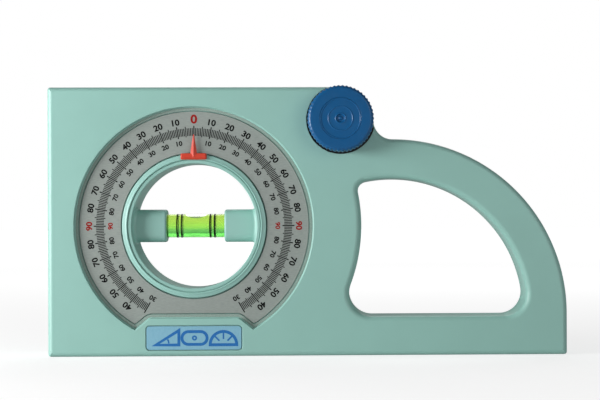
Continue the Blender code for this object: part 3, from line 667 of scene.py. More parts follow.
def sintered_bronze():
    """Porous bronze: the pores are darker and duller."""
    look = Nodes("sintered_bronze")
    look.set(Metallic=1.0)
    pores = look.noise(0.25, 4.0)
    look.colour(pores, srgb(120, 88, 52), srgb(186, 142, 90))
    look.gloss(pores, 0.6, 0.35)
    look.bump((pores, 0.01))
    return look.material


def steel(name, dark, light, roughness):
    """Turned steel with fine rings and a cloudy plating."""
    look = Nodes(name)
    look.set(Metallic=1.0)
    look.colour(look.noise(1.5, 3.0), dark, light)
    look.gloss(look.noise(0.8, 3.0), roughness - 0.06, roughness + 0.08)
    look.bump((look.noise(0.2, 2.0, (1, 4, 1)), 0.002))
    return look.material


BODY = moulded("mint_plastic", srgb(150, 196, 186), 0.42, 0.02)
KNOB_LOOK = moulded("blue_plastic", srgb(0, 86, 140), 0.34, 0.05, 0.3, 0.003)
RED = moulded("red_plastic", srgb(212, 66, 44), 0.55, 0.05, 0.25, 0.002)
METAL = dial_metal()
BLACK_INK = print_ink("black_ink", srgb(8, 9, 9))
# Grey print for the dial's ledge, darker than the mint: partly painted shade.
GREY_INK_AND_SHADE = print_ink("grey_ink_and_shade", srgb(146, 164, 156))
RED_INK = print_ink("red_ink", srgb(150, 26, 24))
BLUE_INK = print_ink("blue_ink", srgb(44, 110, 176))
FOIL = badge_foil()
ACRYLIC = vial_acrylic()
FLUID_PAINTED_LIGHT = vial_fluid()
AIR_PAINTED_SHADE = vial_air()
BLACK = moulded("black_plastic", srgb(22, 24, 22), 0.45, 0.1, 0.3, 0.003)
LINE_PAINT = print_ink("line_paint", srgb(3, 4, 3))
GEAR = moulded("gear_acetal", srgb(222, 220, 212), 0.38, 0.02, 0.5, 0.004)
BRONZE = sintered_bronze()
PLATED = steel("plated_steel", srgb(168, 172, 176), srgb(198, 200, 204), 0.3)
SPRING = steel("spring_steel", srgb(92, 96, 102), srgb(120, 124, 130), 0.36)


# ---- the shells

def shell_cavity(name, front, rear):
    """The hollow between a shell's walls, round the hand hole."""
    hollow = layered(name, body_outline, ((WALL, front), (WALL, rear)))
    cut(hollow, layered("hand_wall", hand_outline, ((WALL, front - 1), (WALL, rear + 1))))
    return hollow


def joint_band(name, outer, inner, depth):
    """Band round the body at the joint, between two insets, that reaches forwards by depth."""
    band = layered(name, body_outline, ((outer, PARTING - depth), (outer, PARTING + 1)))
    cut(band, layered(f"{name}_core", body_outline, ((inner, PARTING - 3), (inner, PARTING + 2))))
    return band


def front_shell():
    """Front shell: face, dial recess, badge seat, hand hole, and its pillars and bosses inside."""
    joint = PARTING - GAP / 2
    steps = quarter(EDGE, 8, EDGE, FRONT, 1) + [(0, joint - BREAK), (BREAK, joint)]
    shell = layered("front_shell", body_outline, steps)
    hollow = shell_cavity("front_hollow", FRONT + WALL, PARTING + 1)
    cut(hollow, disc("recess_wall", RECESS_R + WALL, FRONT, FLOOR_REAR, DIAL, 160))
    for place in SCREW_PLACES:
        cut(hollow, disc("pillar", PILLAR_R, FRONT, joint, place, 32))
    cut(hollow, disc("spindle_boss", SPINDLE_BOSS_R, FRONT, -8.5, KNOB, 48))
    cut(hollow, disc("idler_boss", PIN_BOSS_R, FRONT, -6.6, IDLER, 32))
    cut(shell, hollow)
    hand = [(-inset, y) for inset, y in quarter(HAND_EDGE, 8, HAND_EDGE, FRONT, 1)]
    hand = [(HAND_EDGE, FRONT - 1)] + [(-grow, y) for grow, y in hand]
    hand += [(0, joint - BREAK), (BREAK, joint), (BREAK, joint + 2)]
    cut(shell, layered("hand_hole", hand_outline, hand))
    cut(shell, joint_band("rebate", *REBATE))
    edge, foot = 0.45, 0.35
    recess = [(-edge, FRONT - 1)] + [(inset - edge, y) for inset, y in inner_round(edge, 5, FRONT)]
    recess += [(0, RECESS_FLOOR - foot)] + rear_round(foot, 4, RECESS_FLOOR)[1:]
    cut(shell, layered("recess", dial_outline, recess))
    seat = PLATE_LEDGE - GAP
    lip = 0.15
    steps = [(seat - lip, RECESS_FLOOR - 0.5), (seat - lip, RECESS_FLOOR)]
    steps += [(seat, RECESS_FLOOR + lip), (seat, SEAT_FLOOR)]
    cut(shell, layered("plate_seat", dial_outline, steps))
    cut(shell, disc("bore", RING_R + GAP, FRONT - 2, FLOOR_REAR + 1, DIAL, 192))
    rim = 0.35
    badge = [(-rim, FRONT - 1)] + [(inset - rim, y) for inset, y in inner_round(rim, 4, FRONT)]
    badge += [(0, FRONT + BADGE_RECESS)]
    cut(shell, layered("badge_seat", box_outline(BADGE_X, BADGE_Z, BADGE_ROUND), badge))
    cut(shell, disc("knob_pocket", KNOB_R + 0.65, FRONT - 1, FRONT + POCKET_DEPTH, KNOB, 128))
    cut(shell, disc("bush_bore", BUSH_R, FRONT - 1, 0, KNOB, 64))
    cut(shell, disc("idler_bore", PIN_R + GAP, FRONT + 2.5, 0, IDLER, 32))
    for place in SCREW_PLACES:
        cut(shell, disc("pilot", SCREW_R + GAP, SCREW_TIP - 2, PARTING + 1, place, 24))
    return finished(shell, "body", BODY, ["front_housing"])


def rear_shell():
    """Rear shell: flat back, the ring's rear bearing, screw posts, tongue and bearing bosses."""
    joint = PARTING + GAP / 2
    steps = [(BREAK, joint), (0, joint + BREAK)] + list(reversed(quarter(EDGE, 8, EDGE, REAR, -1)))
    shell = layered("rear_shell", body_outline, steps)
    hollow = shell_cavity("rear_hollow", PARTING - 1, REAR - WALL)
    cut(hollow, disc("ring_wall", RING_R + WALL + 0.7, PARTING - 2, REAR, DIAL, 160))
    for place in SCREW_PLACES:
        cut(hollow, disc("post", PILLAR_R, PARTING - 2, REAR, place, 32))
    cut(shell, hollow)
    join(shell, joint_band("tongue", *TONGUE))
    inner, outer, face = RING_R + 0.1, RING_R + 2.9, GEAR_REAR + GAP
    bearing = ((inner, face), (outer, face), (outer, REAR - 1), (inner, REAR - 1))
    join(shell, turned("bearing", bearing, DIAL, 160))
    join(shell, disc("spindle_boss", SPINDLE_BOSS_R, 5.5, REAR - 1, KNOB, 48))
    join(shell, disc("idler_boss", PIN_BOSS_R, -1.6, REAR - 1, IDLER, 32))
    hand = [(BREAK, joint - 3), (BREAK, joint), (0, joint + BREAK)]
    hand += [(grow, y) for grow, y in rear_round(HAND_EDGE, 8, REAR)] + [(HAND_EDGE, REAR + 1)]
    cut(shell, layered("hand_hole", hand_outline, hand))
    bore_r, rim = RING_R + GAP, 0.8
    bore = [(0, GEAR_REAR - 2), (bore_r, GEAR_REAR - 2)]
    bore += [(bore_r + grow, y) for grow, y in rear_round(rim, 6, REAR)]
    bore += [(bore_r + rim, REAR + 1), (0, REAR + 1)]
    cut(shell, turned("bore", bore, DIAL, 192, "point"))
    cut(shell, disc("bush_bore", BUSH_R, 4, 11.0, KNOB, 64))
    cut(shell, disc("idler_bore", PIN_R + GAP, -3, 10.6, IDLER, 32))
    head_r, head, rim = SCREW_HEAD_R + GAP, SCREW_HEAD_FRONT - GAP, 0.35
    for place in SCREW_PLACES:
        hole = [(0, PARTING - 3), (SCREW_R + GAP, PARTING - 3), (SCREW_R + GAP, head), (head_r, head)]
        hole += [(head_r + grow, y) for grow, y in rear_round(rim, 4, REAR)]
        hole += [(head_r + rim, REAR + 1), (0, REAR + 1)]
        cut(shell, turned("screw_hole", hole, place, 40, "point"))
    return finished(shell, "body", BODY, ["rear_housing"])


def cross_recess(place, rear, depth, width, reach):
    """Cutter for a cross recess in a screw's head."""
    x, z = place
    arms = []
    for half_x, half_z in ((reach, width), (width, reach)):
        outline = box_outline((x - half_x, x + half_x), (z - half_z, z + half_z), width * 0.6)
        steps = ((width * 0.45, rear - depth), (0, rear - depth * 0.4), (0, rear + 1))
        arms.append(layered("arm", outline, steps))
    join(arms[0], arms[1])
    return arms[0]


def housing_screw(number, place):
    """Pan-head screw with a domed head, a cross recess and a plain shank with thread rings."""
    profile = [(0, SCREW_TIP), (SCREW_R - 0.5, SCREW_TIP), (SCREW_R, SCREW_TIP + 0.7)]
    pitch = 0.8
    turns = int((SCREW_HEAD_FRONT - 2.0 - SCREW_TIP) / pitch)
    for i in range(turns):
        y = SCREW_TIP + 0.9 + i * pitch
        profile += [(SCREW_R - 0.25, y + 0.2), (SCREW_R, y + 0.45), (SCREW_R - 0.25, y + 0.7)]
    profile += [(SCREW_R, SCREW_HEAD_FRONT)]
    head = (
        (SCREW_R, SCREW_HEAD_FRONT, 0),
        (SCREW_HEAD_R, SCREW_HEAD_FRONT, 0.12),
        (SCREW_HEAD_R, SCREW_HEAD_REAR - 0.55, 0.3),
        (SCREW_HEAD_R * 0.62, SCREW_HEAD_REAR, 0.3),
        (0, SCREW_HEAD_REAR, 0),
    )
    profile += softened(head)[1:]
    screw = turned(f"case_screw_{number}", profile, place, 40, "point")
    cut(screw, cross_recess(place, SCREW_HEAD_REAR, 0.9, 0.32, 1.35))
    return finished(screw, "body", PLATED, [f"housing_screw_{number}"])


# ---- the dial

def protractor_plate():
    """Dial plate with a fine bevel round its outline and its bore."""
    edge = 0.12
    front, rear, bore_r = RECESS_FLOOR, PLATE_HIGH.y, PLATE_BORE_R
    steps = ((PLATE_LEDGE + edge, front), (PLATE_LEDGE, front + edge), (PLATE_LEDGE, rear))
    plate = layered("protractor_plate", dial_outline, steps)
    bore = ((0, front - 1), (bore_r + edge, front - 1), (bore_r + edge, front))
    bore += ((bore_r, front + edge), (bore_r, rear + 1), (0, rear + 1))
    cut(plate, turned("plate_bore", bore, DIAL, 192, "point"))
    return finished(plate, "body", METAL, ["dial_plate"])


def dial_surround():
    """Grey print on the ledge between the plate and the recess wall, greyer and darker than the mint: partly
    print, partly painted shade from the recess wall.
    """
    width = (0.35, PLATE_LEDGE - 0.35)
    depth = (RECESS_FLOOR - INK, RECESS_FLOOR + 0.02)
    band = layered("dial_surround", dial_outline, [(width[0], y) for y in depth])
    cut(band, layered("surround_core", dial_outline, ((width[1], depth[0] - 1), (width[1], depth[1] + 1))))
    # Partly painted shade: the strip darkens the ledge where the recess wall shades it.
    return finished(band, "body", GREY_INK_AND_SHADE)


def print_box(shape, start, end, width, front, rear):
    """A flat printed line from one point to another, as a thin box."""
    along = (Vector(end) - Vector(start)).normalized()
    side = Vector((-along.y, along.x)) * (width / 2)
    base = [Vector(start) - side, Vector(end) - side, Vector(end) + side, Vector(start) + side]
    weave(shape, [[(p.x, y, p.y) for p in base] for y in (front, rear)], "capped")


def dial_ticks():
    """A tick for every degree, with longer ones every five and ten."""
    shape = bmesh.new()
    for degree in range(-SCALE_END, SCALE_END + 1):
        angle = math.radians(90 - degree)
        reach, width = DEGREE_TICK, TICK_WIDTH
        if degree % 10 == 0:
            reach, width = TEN_TICK, TICK_WIDTH * 1.25
        elif degree % 5 == 0:
            reach = FIVE_TICK
        start, end = (polar(DIAL, radius, angle) for radius in reach)
        print_box(shape, start, end, width, RECESS_FLOOR - INK, RECESS_FLOOR + SUNK)
    return finished(mesh_object("dial_ticks", shape), "body", BLACK_INK)


def numeral_mesh(text):
    """Mesh of a number in Blender's own font, 1 high, centred, in the XY plane."""
    curve = bpy.data.curves.new("numeral", "FONT")
    curve.body = text
    curve.align_x = "CENTER"
    curve.extrude = NUMERAL_DEPTH / 2
    curve.offset = NUMERAL_WEIGHT
    curve.resolution_u = 4
    holder = bpy.data.objects.new("numeral", curve)
    scratch.objects.link(holder)
    graph = bpy.context.evaluated_depsgraph_get()
    mesh = bpy.data.meshes.new_from_object(holder.evaluated_get(graph))
    bpy.data.objects.remove(holder)
    heights = [vertex.co.y for vertex in mesh.vertices]
    widths = [vertex.co.x for vertex in mesh.vertices]
    tall = max(heights) - min(heights)
    middle_x = (max(widths) + min(widths)) / 2
    middle_y = (max(heights) + min(heights)) / 2
    mesh.transform(Matrix.Translation((-middle_x, -middle_y, 0)))
    mesh.transform(Matrix.Diagonal((1 / tall, 1 / tall, 1, 1)))
    return mesh


NUMERALS = {str(value): numeral_mesh(str(value)) for value in range(0, 100, 10)}


def add_numeral(shape, value, degree, radius, height):
    """Prints a number at an angle from the top, with its head outwards."""
    mesh = NUMERALS[str(value)].copy()
    thickness = (INK + SUNK) / NUMERAL_DEPTH
    mesh.transform(Matrix.Diagonal((height * NUMERAL_WIDTH, height, thickness, 1)))
    mesh.transform(Matrix.Rotation(math.pi / 2, 4, "X"))
    mesh.transform(Matrix.Rotation(math.radians(degree), 4, "Y"))
    x, z = polar(DIAL, radius, math.radians(90 - degree))
    mesh.transform(Matrix.Translation((x, RECESS_FLOOR + (SUNK - INK) / 2, z)))
    shape.from_mesh(mesh)
    bpy.data.meshes.remove(mesh)


def dial_numerals():
    """Two rings of numbers: 0 at the top, up to 90 at the sides and down again. Whole quarters are red."""
    black, red = bmesh.new(), bmesh.new()
    add_numeral(red, 0, 0, *ZERO_NUMERAL)
    for degree in range(-SCALE_END, SCALE_END + 1, 10):
        if degree == 0:
            continue
        value = abs(degree) if abs(degree) <= 90 else 180 - abs(degree)
        sheet = red if value == 90 else black
        add_numeral(sheet, value, degree, *INNER_NUMERALS)
        if abs(degree) < SCALE_END:
            add_numeral(sheet, value, degree, *OUTER_NUMERALS)
    finished(mesh_object("dial_numerals", black), "body", BLACK_INK)
    finished(mesh_object("dial_numerals_red", red), "body", RED_INK)


# ---- the badge

def badge_panel():
    """The badge's film, with a fine bevel."""
    edge = 0.15
    steps = ((GAP + edge, BADGE_LOW.y), (GAP, BADGE_LOW.y + edge), (GAP, BADGE_HIGH.y))
    panel = layered("badge_panel", box_outline(BADGE_X, BADGE_Z, BADGE_ROUND), steps)
    return finished(panel, "body", FOIL, ["badge_plate"])


def stroke(shape, points, width, face, closed=False):
    """A printed line through points, with mitred joints, so that no two faces lie on each other."""
    spots = [Vector(point) for point in points]
    if closed:
        before, after = [spots[-1]] + spots[:-1], spots[1:] + spots[:1]
    else:
        before = [2 * spots[0] - spots[1]] + spots[:-1]
        after = spots[1:] + [2 * spots[-1] - spots[-2]]
    sections = []
    for last, here, following in zip(before, spots, after):
        into, out = (here - last).normalized(), (following - here).normalized()
        across = Vector((-into.y - out.y, into.x + out.x)).normalized()
        side = across * (width / 2 / max(across.dot(Vector((-into.y, into.x))), 0.35))
        left, right = here - side, here + side
        sections.append([
            (left.x, face - INK, left.y), (right.x, face - INK, right.y),
            (right.x, face + SUNK, right.y), (left.x, face + SUNK, left.y),
        ])
    weave(shape, sections, "joined" if closed else "capped")


def badge_pictogram():
    """A slope with its angle arc, a vial with its bubble, and a small protractor."""
    shape = bmesh.new()
    face = BADGE_LOW.y
    middle_x = (BADGE_X[0] + BADGE_X[1]) / 2
    low = BADGE_Z[0] + 2.4
    bold, fine = 1.25, 0.7
    foot = (middle_x - 16.2, low)
    far = (foot[0] + 9.8, low)
    rise = 32
    top = polar(foot, 9.8 / math.cos(math.radians(rise)), math.radians(rise))
    stroke(shape, [foot, far, top], bold, face, closed=True)
    arc_r = 5.6
    trim = math.degrees(math.asin(bold / 2 / arc_r)) + 0.2
    stroke(shape, arc(foot, arc_r, trim, rise - trim, 9), fine, face)
    centre = (middle_x + 0.2, low + 2.9)
    capsule = arc((centre[0] + 2.6, centre[1]), 2.7, -90, 90, 15)
    capsule += arc((centre[0] - 2.6, centre[1]), 2.7, 90, 270, 15)
    stroke(shape, capsule, bold, face, closed=True)
    stroke(shape, arc(centre, 0.75, 0, 340, 18), fine, face, closed=True)
    hub = (middle_x + 12.4, low)
    stroke(shape, arc(hub, arc_r, 0, 180, 25), bold, face, closed=True)
    for degree in (45, 90, 135):
        turn = math.radians(degree)
        stroke(shape, [polar(hub, 2.4, turn), polar(hub, arc_r - bold / 2 - 0.02, turn)], fine, face)
    return finished(mesh_object("badge_pictogram", shape), "body", BLUE_INK)


# ---- the turning ring and its vial

def vial_boss(name, side):
    """Boss that holds one end of the vial: a square with very round sides, flaring into the ring's wall."""
    soft, flare, root = 0.9, 1.7, HOLE_R + 1.5
    turns = full_turn(96)
    squares = []
    for turn in turns:
        total = abs(math.cos(turn)) ** SQUARENESS + abs(math.sin(turn)) ** SQUARENESS
        squares.append(total ** (-1 / SQUARENESS))
    rings = [[(0.0, BOSS_END)] * len(turns)]
    for i in range(7):
        turn = math.pi / 2 * i / 6
        inset = soft * (1 - math.sin(turn))
        rings.append([(BOSS_R * share - inset, BOSS_END + soft * (1 - math.cos(turn))) for share in squares])
    for i in range(9):
        turn = math.pi / 2 * i / 8
        ring = []
        for share, around_turn in zip(squares, turns):
            radius = BOSS_R * share + flare * (1 - math.cos(turn))
            wall = math.sqrt(HOLE_R**2 - (radius * math.sin(around_turn)) ** 2)
            ring.append((radius, wall - flare + (flare + 0.12) * math.sin(turn)))
        rings.append(ring)
    rings.append([(BOSS_R * share + flare, root) for share in squares])
    rings.append([(0.0, root)] * len(turns))
    shaped = []
    for ring in rings:
        shaped.append([
            (DIAL_X + side * x, radius * math.cos(turn), DIAL_Z + radius * math.sin(turn))
            for turn, (radius, x) in zip(turns, ring)
        ])
    return skin(name, shaped, "point")


def level_ring():
    """Turning ring: a rounded front lip with a groove at its foot, a gear flange and the vial's bosses."""
    groove = 0.3
    profile = softened((
        (LIP_R + 0.25, LIP_FRONT, 0.1),
        (LIP_R + 0.5, LIP_FRONT, 0.12),
        (LIP_R + 1.0, LIP_FRONT + 0.28, 0.2),
        (RING_R, LIP_FRONT + 0.65, 0.3),
        (RING_R, FLOOR_REAR + GAP, 0),
        (FLANGE_R, FLOOR_REAR + GAP, 0.2),
        (FLANGE_R, GEAR_FRONT - GAP, 0.2),
        (RING_R, GEAR_FRONT - GAP, 0),
        (RING_R, RING_REAR, 0.5),
        (HOLE_R, RING_REAR, 0.9),
        (HOLE_R, LEDGE_FRONT, 0.45),
        (LIP_R - groove, LEDGE_FRONT, 0.1),
        (LIP_R - groove, LEDGE_FRONT + 0.5, 0),
        (LIP_R, LEDGE_FRONT + 0.5, 0),
        (LIP_R + 0.05, LIP_FRONT + 0.3, 0.12),
    ), 5)
    ring = turned("level_ring", profile, DIAL, 192)
    join(ring, vial_boss("boss_left", -1), vial_boss("boss_right", 1))
    reach = RING_R + 2
    bore = ((0, -reach), (VIAL_R + 0.08, -reach), (VIAL_R + 0.08, reach), (0, reach))
    cut(ring, rod("vial_bore", bore))
    for place in GEAR_SCREW_PLACES:
        cut(ring, disc("flange_hole", 0.9 + GAP, FLOOR_REAR, GEAR_FRONT, place, 24))
    for x in (-PEG_X, PEG_X):
        place = (DIAL_X + x, DIAL_Z + PEG_R)
        cut(ring, disc("peg_hole", 0.8, LIP_FRONT - 1, LIP_FRONT + 1.8, place, 24))
    return finished(ring, "vial_ring", BODY, ["rotor_ring"], 38)


def needle_pointer():
    """Red needle with a ridge down its middle, on a bar with a ridge along it."""
    rear = LIP_FRONT - GAP
    front = POINTER_LOW.y
    bar_low = POINTER_LOW.z
    bar_top = DIAL_Z + 30.75
    ridge = bar_low + 0.3 * (bar_top - bar_low)
    half = (POINTER_HIGH.x - POINTER_LOW.x) / 2 - 0.15
    rings = []
    for x, fall, trim in ((-half, 0.45, 0.4), (-half + 0.15, 0.2, 0.15), (-half + 0.5, 0.0, 0.0)):
        rings.append(bar_section(x, front + fall, rear, bar_low + trim, ridge, bar_top - trim))
    rings += [[(-x, y, z) for x, y, z in ring] for ring in reversed(rings)]
    bar = skin("needle_pointer", [[(DIAL_X + x, y, z) for x, y, z in ring] for ring in rings])
    tip = POINTER_HIGH.z
    stations = ((ridge, 1.4), (bar_top, 1.38), (bar_top + 0.6, 1.3), (tip - 0.35, 0.26), (tip, 0.14))
    rings = []
    for z, width in stations:
        crest = front if z < tip - 1.0 else front + 0.25
        brow = min(crest + 0.4 * width + 0.08, rear - 0.1)
        rings.append([
            (DIAL_X - width, rear, z), (DIAL_X - width, brow, z), (DIAL_X, crest, z),
            (DIAL_X + width, brow, z), (DIAL_X + width, rear, z),
        ])
    join(bar, skin("needle", rings))
    for x in (-PEG_X, PEG_X):
        join(bar, disc("peg", 0.5, rear - 0.3, POINTER_HIGH.y, (DIAL_X + x, DIAL_Z + PEG_R), 24))
    return finished(bar, "vial_ring", RED, ["pointer"], 20)


def bar_section(x, front, rear, low, ridge, top):
    """Section of the needle's bar: a long upper slope, a narrow crest and a steep lower slope."""
    return [
        (x, rear, low), (x, front + 0.75, low), (x, front + 0.2, ridge - 0.3), (x, front, ridge),
        (x, front + 0.14, ridge + 0.35), (x, front + 0.45, top - 0.25), (x, front + 0.65, top),
        (x, rear, top),
    ]


def vial_glass():
    """Clear tube, closed at its left end."""
    inner = VIAL_R - VIAL_WALL
    profile = softened((
        (0, -VIAL_HALF, 0), (VIAL_R, -VIAL_HALF, 0.4), (VIAL_R, VIAL_HALF, 0.1),
        (inner, VIAL_HALF, 0.1), (inner, -VIAL_HALF + 2, 0.6), (0, -VIAL_HALF + 2, 0),
    ))
    return finished(rod("vial_glass", profile), "vial_ring", ACRYLIC, ["vial_tube"])


def flat_ball(name, trim):
    """Flattened ball at the top of the liquid, smaller all round by trim."""
    shape = bmesh.new()
    bmesh.ops.create_uvsphere(shape, u_segments=64, v_segments=32, radius=1.0)
    size = Vector((BUBBLE_LENGTH / 2 - trim, BUBBLE_WIDTH / 2 - trim, BUBBLE_DEPTH - trim))
    bmesh.ops.scale(shape, vec=size, verts=shape.verts)
    bmesh.ops.translate(shape, vec=Vector((DIAL_X, 0.0, DIAL_Z + FLUID_R)), verts=shape.verts)
    return mesh_object(name, shape)


def vial_filling():
    """Tinted liquid with room for the bubble, and the bubble in it."""
    start, end = -VIAL_HALF + 2.1, VIAL_HALF - 4
    profile = softened(((0, start, 0), (FLUID_R, start, 0.5), (FLUID_R, end, 0.1), (0, end, 0)))
    fluid = rod("vial_fluid", profile)
    cut(fluid, flat_ball("bubble_room", 0.0))
    finished(fluid, "vial_ring", FLUID_PAINTED_LIGHT, ["vial_liquid"])
    bubble = flat_ball("vial_bubble", 0.05)
    top = VIAL_R - VIAL_WALL - 0.03
    limit = ((0, -VIAL_HALF), (top, -VIAL_HALF), (top, VIAL_HALF), (0, VIAL_HALF))
    combine(bubble, rod("bubble_limit", limit), "INTERSECT")
    finished(bubble, "vial_ring", AIR_PAINTED_SHADE)


def reading_line(number):
    """Black line round the tube, a little wider than its CAD node and close to the tube."""
    low, high = extent(f"vial_line_{number}")
    start, end = low.x - DIAL_X - 0.08, high.x - DIAL_X + 0.08
    under, over = VIAL_R + 0.02, VIAL_R + 0.1
    band = rod(f"reading_line_{number}", ((over, start), (over, end), (under, end), (under, start)), "joined")
    finished(band, "vial_ring", LINE_PAINT, [f"vial_line_{number}"])


# ---- the knob

def knob_wheel():
    """Fluted hand wheel: the flutes run out on its front bevel."""
    web, hollow = KNOB_FRONT + 1.5, KNOB_FRONT + 3.0
    stations = [
        (CAP_R, KNOB_FRONT + 0.08, 0.0), (CAP_R + 0.08, KNOB_FRONT, 0.0),
        (KNOB_R - 1.55, KNOB_FRONT, 0.0), (KNOB_R - 1.15, KNOB_FRONT + 0.1, 0.1),
        (KNOB_R - 0.65, KNOB_FRONT + 0.42, 0.45), (KNOB_R - 0.25, KNOB_FRONT + 0.9, 0.8),
        (KNOB_R - 0.06, KNOB_FRONT + 1.4, 0.95), (KNOB_R, KNOB_FRONT + 1.9, 1.0),
        (KNOB_R, KNOB_REAR - 0.7, 1.0), (KNOB_R - 0.2, KNOB_REAR - 0.25, 0.8),
        (KNOB_R - 0.6, KNOB_REAR, 0.2), (KNOB_R - 2.4, KNOB_REAR, 0.0), (KNOB_R - 2.4, hollow, 0.0),
        (SPINDLE_R + 2.5, hollow, 0.0), (SPINDLE_R + 2.5, KNOB_REAR - 0.6, 0.0),
        (SPINDLE_R + GAP, KNOB_REAR - 0.6, 0.0), (SPINDLE_R + GAP, KNOB_FRONT + 4.6, 0.0),
        (SCREW_R + GAP, KNOB_FRONT + 4.6, 0.0), (SCREW_R + GAP, KNOB_FRONT + 3.6, 0.0),
        (SCREW_HEAD_R + GAP, KNOB_FRONT + 3.6, 0.0), (SCREW_HEAD_R + GAP, web, 0.0), (CAP_R, web, 0.0),
    ]
    per_flute = 8
    around = FLUTES * per_flute
    rings = []
    for radius, y, share in stations:
        ring = []
        for k in range(around):
            wave = 0.5 - 0.5 * math.cos(2 * math.pi * k / per_flute)
            here = radius - share * FLUTE_DEPTH * wave
            turn = 2 * math.pi * k / around
            ring.append((KNOB_X + here * math.cos(turn), y, KNOB_Z + here * math.sin(turn)))
        rings.append(ring)
    wheel = skin("knob_wheel", rings, "joined")
    return finished(wheel, "knob", KNOB_LOOK, ["knob"], 50)


def raised_ring(radius, face, crest):
    """Profile corners of a fine raised ring on the knob's cap."""
    foot, top, soft = 0.3, 0.12, 0.05
    corners = ((-foot, face), (-top, crest), (top, crest), (foot, face))
    return [(radius + offset, y, soft) for offset, y in corners]


def knob_gap_ring():
    """Painted shadow: a thin black ring in the pocket under the knob, put where the gap round the knob lies
    in shade, which shows as a dark line round it.
    """
    floor_y, thick = FRONT + POCKET_DEPTH, 0.2
    corners = ((KNOB_R - 1.5, floor_y - thick, 0.05), (KNOB_R + 0.55, floor_y - thick, 0.05))
    corners += ((KNOB_R + 0.55, floor_y - 0.02, 0), (KNOB_R - 1.5, floor_y - 0.02, 0))
    ring = turned("knob_gap_ring", softened(corners, 2), KNOB, 128)
    combine(ring, layered("gap_limit", body_outline, ((0.5, FRONT - 1), (0.5, 0))), "INTERSECT")
    # Painted shadow: black plastic stands in for the shade in the gap under the knob.
    return finished(ring, "body", BLACK)


def knob_disc():
    """Cap over the knob's screw, with two raised rings, a dimple and a dot in it."""
    front, rear, radius = CAP_LOW.y, CAP_HIGH.y, CAP_R - 0.08
    face = front + 0.16
    profile = [(0, face + 0.1, 0), (0.5, face + 0.1, 0.2), (0.85, face + 0.6, 0.15), (1.5, face + 0.6, 0.2)]
    profile += raised_ring(2.1, face, front) + raised_ring(5.1, face, front)
    profile += [(radius - 0.6, face, 0.05), (radius - 0.45, front, 0.05), (radius, front, 0.08)]
    profile = softened(profile + [(radius, rear, 0.1), (0, rear, 0)], 3)
    cap = turned("knob_disc", profile, KNOB, 128, "point")
    return finished(cap, "knob", KNOB_LOOK, ["knob_cap"])


# ---- CAD nodes that stay

def carried_over():
    """Materials for the CAD nodes that keep their own shape."""
    ring_screws = tuple(f"ring_gear_screw_{number}" for number in range(1, 5))
    looks = (
        (GEAR, ("ring_gear", "idler_gear", "drive_pinion")),
        (PLATED, ("drive_spindle", "knob_screw", "idler_pin") + ring_screws),
        (SPRING, ("knob_wave_washer", "spindle_circlip")),
        (BRONZE, ("spindle_bush_front", "spindle_bush_rear")),
        (BLACK, ("vial_plug_left", "vial_plug_right")),
        (ACRYLIC, ("vial_stopper",)),
    )
    for look, nodes in looks:
        for node in nodes:
            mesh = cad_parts[node].data
            mesh.materials.clear()
            mesh.materials.append(look)


# ---- the studio

AMBIENT = 0.14  # of the surroundings' brightness, as a light on the object
FLOOR_LIGHT = 0.25  # of the floor's own glow, as a light on the object


def seen_level(tree, unseen):
    """1 where the camera sees something, straight or through glass, and less where it only lights."""
    path = tree.nodes.new("ShaderNodeLightPath")
    seen = tree.nodes.new("ShaderNodeMath")
    seen.operation = "MAXIMUM"
    tree.links.new(path.outputs["Is Camera Ray"], seen.inputs[0])
    tree.links.new(path.outputs["Is Transmission Ray"], seen.inputs[1])
    level = add_node(tree, "ShaderNodeMapRange", To_Min=unseen, To_Max=1.0)
    tree.links.new(seen.outputs["Value"], level.inputs["Value"])
    return level.outputs["Result"]


def floor():
    """Pale floor that fades into the white surroundings."""
    shape = bmesh.new()
    bmesh.ops.create_grid(shape, x_segments=1, y_segments=1, size=8000.0)
    ground = mesh_object("floor", shape)
    ground.location = (0, 0, cad_low.z - 0.0001)
    look = bpy.data.materials.new("pale_floor")
    look.use_nodes = True
    tree = look.node_tree
    shader = tree.nodes["Principled BSDF"]
    shader.inputs["Base Color"].default_value = (0.5, 0.5, 0.5, 1)
    shader.inputs["Roughness"].default_value = 0.9
    shader.inputs["Specular IOR Level"].default_value = 0.0
    shader.inputs["Emission Color"].default_value = (1, 1, 1, 1)
    place = tree.nodes.new("ShaderNodeTexCoord")
    length = tree.nodes.new("ShaderNodeVectorMath")
    length.operation = "LENGTH"
    tree.links.new(place.outputs["Object"], length.inputs[0])
    fade = add_node(tree, "ShaderNodeMapRange", From_Min=0.15, From_Max=2.0, To_Min=0.68, To_Max=1.0)
    tree.links.new(length.outputs["Value"], fade.inputs["Value"])
    dimmed = tree.nodes.new("ShaderNodeMath")
    dimmed.operation = "MULTIPLY"
    tree.links.new(fade.outputs["Result"], dimmed.inputs[0])
    tree.links.new(seen_level(tree, FLOOR_LIGHT), dimmed.inputs[1])
    tree.links.new(dimmed.outputs["Value"], shader.inputs["Emission Strength"])
    ground.data.materials.append(look)
    scratch.objects.unlink(ground)
    bpy.context.scene.collection.objects.link(ground)


def softbox(name, place, aim, size, power):
    """A large rectangular area light, in metres and watts."""
    data = bpy.data.lights.new(name, "AREA")
    data.shape = "RECTANGLE"
    data.size, data.size_y = size
    data.energy = power
    lamp = bpy.data.objects.new(name, data)
    lamp.location = place
    lamp.rotation_euler = (Vector(aim) - Vector(place)).to_track_quat("-Z", "Y").to_euler()
    bpy.context.scene.collection.objects.link(lamp)


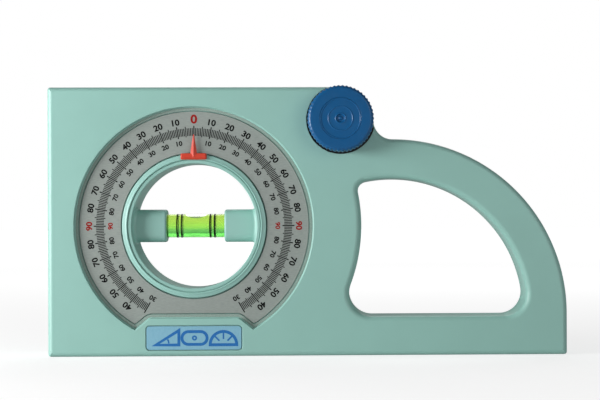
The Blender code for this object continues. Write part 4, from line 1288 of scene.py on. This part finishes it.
def surroundings():
    """White surroundings, which light the object more gently than they look."""
    world = bpy.data.worlds.new("studio")
    world.use_nodes = True
    tree = world.node_tree
    back = tree.nodes["Background"]
    back.inputs["Color"].default_value = (1, 1, 1, 1)
    tree.links.new(seen_level(tree, AMBIENT), back.inputs["Strength"])
    bpy.context.scene.world = world


def camera():
    """Long lens, a little right of the object's middle, turned slightly and shifted back."""
    data = bpy.data.cameras.new("camera")
    data.sensor_width = 36.0
    data.lens = 107.24
    data.shift_x, data.shift_y = -0.146, 0.0289
    data.clip_start, data.clip_end = 0.05, 50
    eye = bpy.data.objects.new("camera", data)
    distance, yaw, roll = 757.0, 1.4, -0.215
    shift = Vector((-33.49, 58.65, distance))  # of the measuring face's front middle: right, down, away
    turn = Matrix.Rotation(math.radians(roll), 3, "Z") @ Matrix.Rotation(math.radians(-yaw), 3, "Y")
    to_view = Matrix(((1, 0, 0), (0, 0, -1), (0, 1, 0)))
    world_to_eye = turn @ to_view
    place = Vector((0, FRONT, 0)) - world_to_eye.transposed() @ shift
    flip = Matrix(((1, 0, 0), (0, -1, 0), (0, 0, -1)))
    eye.matrix_world = Matrix.Translation(place * MM) @ (flip @ world_to_eye).transposed().to_4x4()
    bpy.context.scene.collection.objects.link(eye)
    bpy.context.scene.camera = eye


front_shell()
rear_shell()
for number, place in enumerate(SCREW_PLACES, 1):
    housing_screw(number, place)
protractor_plate()
dial_surround()
dial_ticks()
dial_numerals()
badge_panel()
badge_pictogram()
level_ring()
needle_pointer()
vial_glass()
vial_filling()
for number in range(1, 5):
    reading_line(number)
knob_wheel()
knob_disc()
knob_gap_ring()
carried_over()

floor()
softbox("key", (-0.57, -0.265, 0.12), (-0.05, 0, 0.06), (0.4, 0.2), 4.3)
softbox("fill", (0.6, -0.9, 0.3), (0.03, 0, 0.05), (0.5, 0.5), 1.9)
softbox("back", (0.1, 0.9, 0.8), (0, 0, 0.05), (0.7, 0.7), 2.8)
surroundings()
camera()
bpy.context.scene.view_settings.view_transform = "Standard"
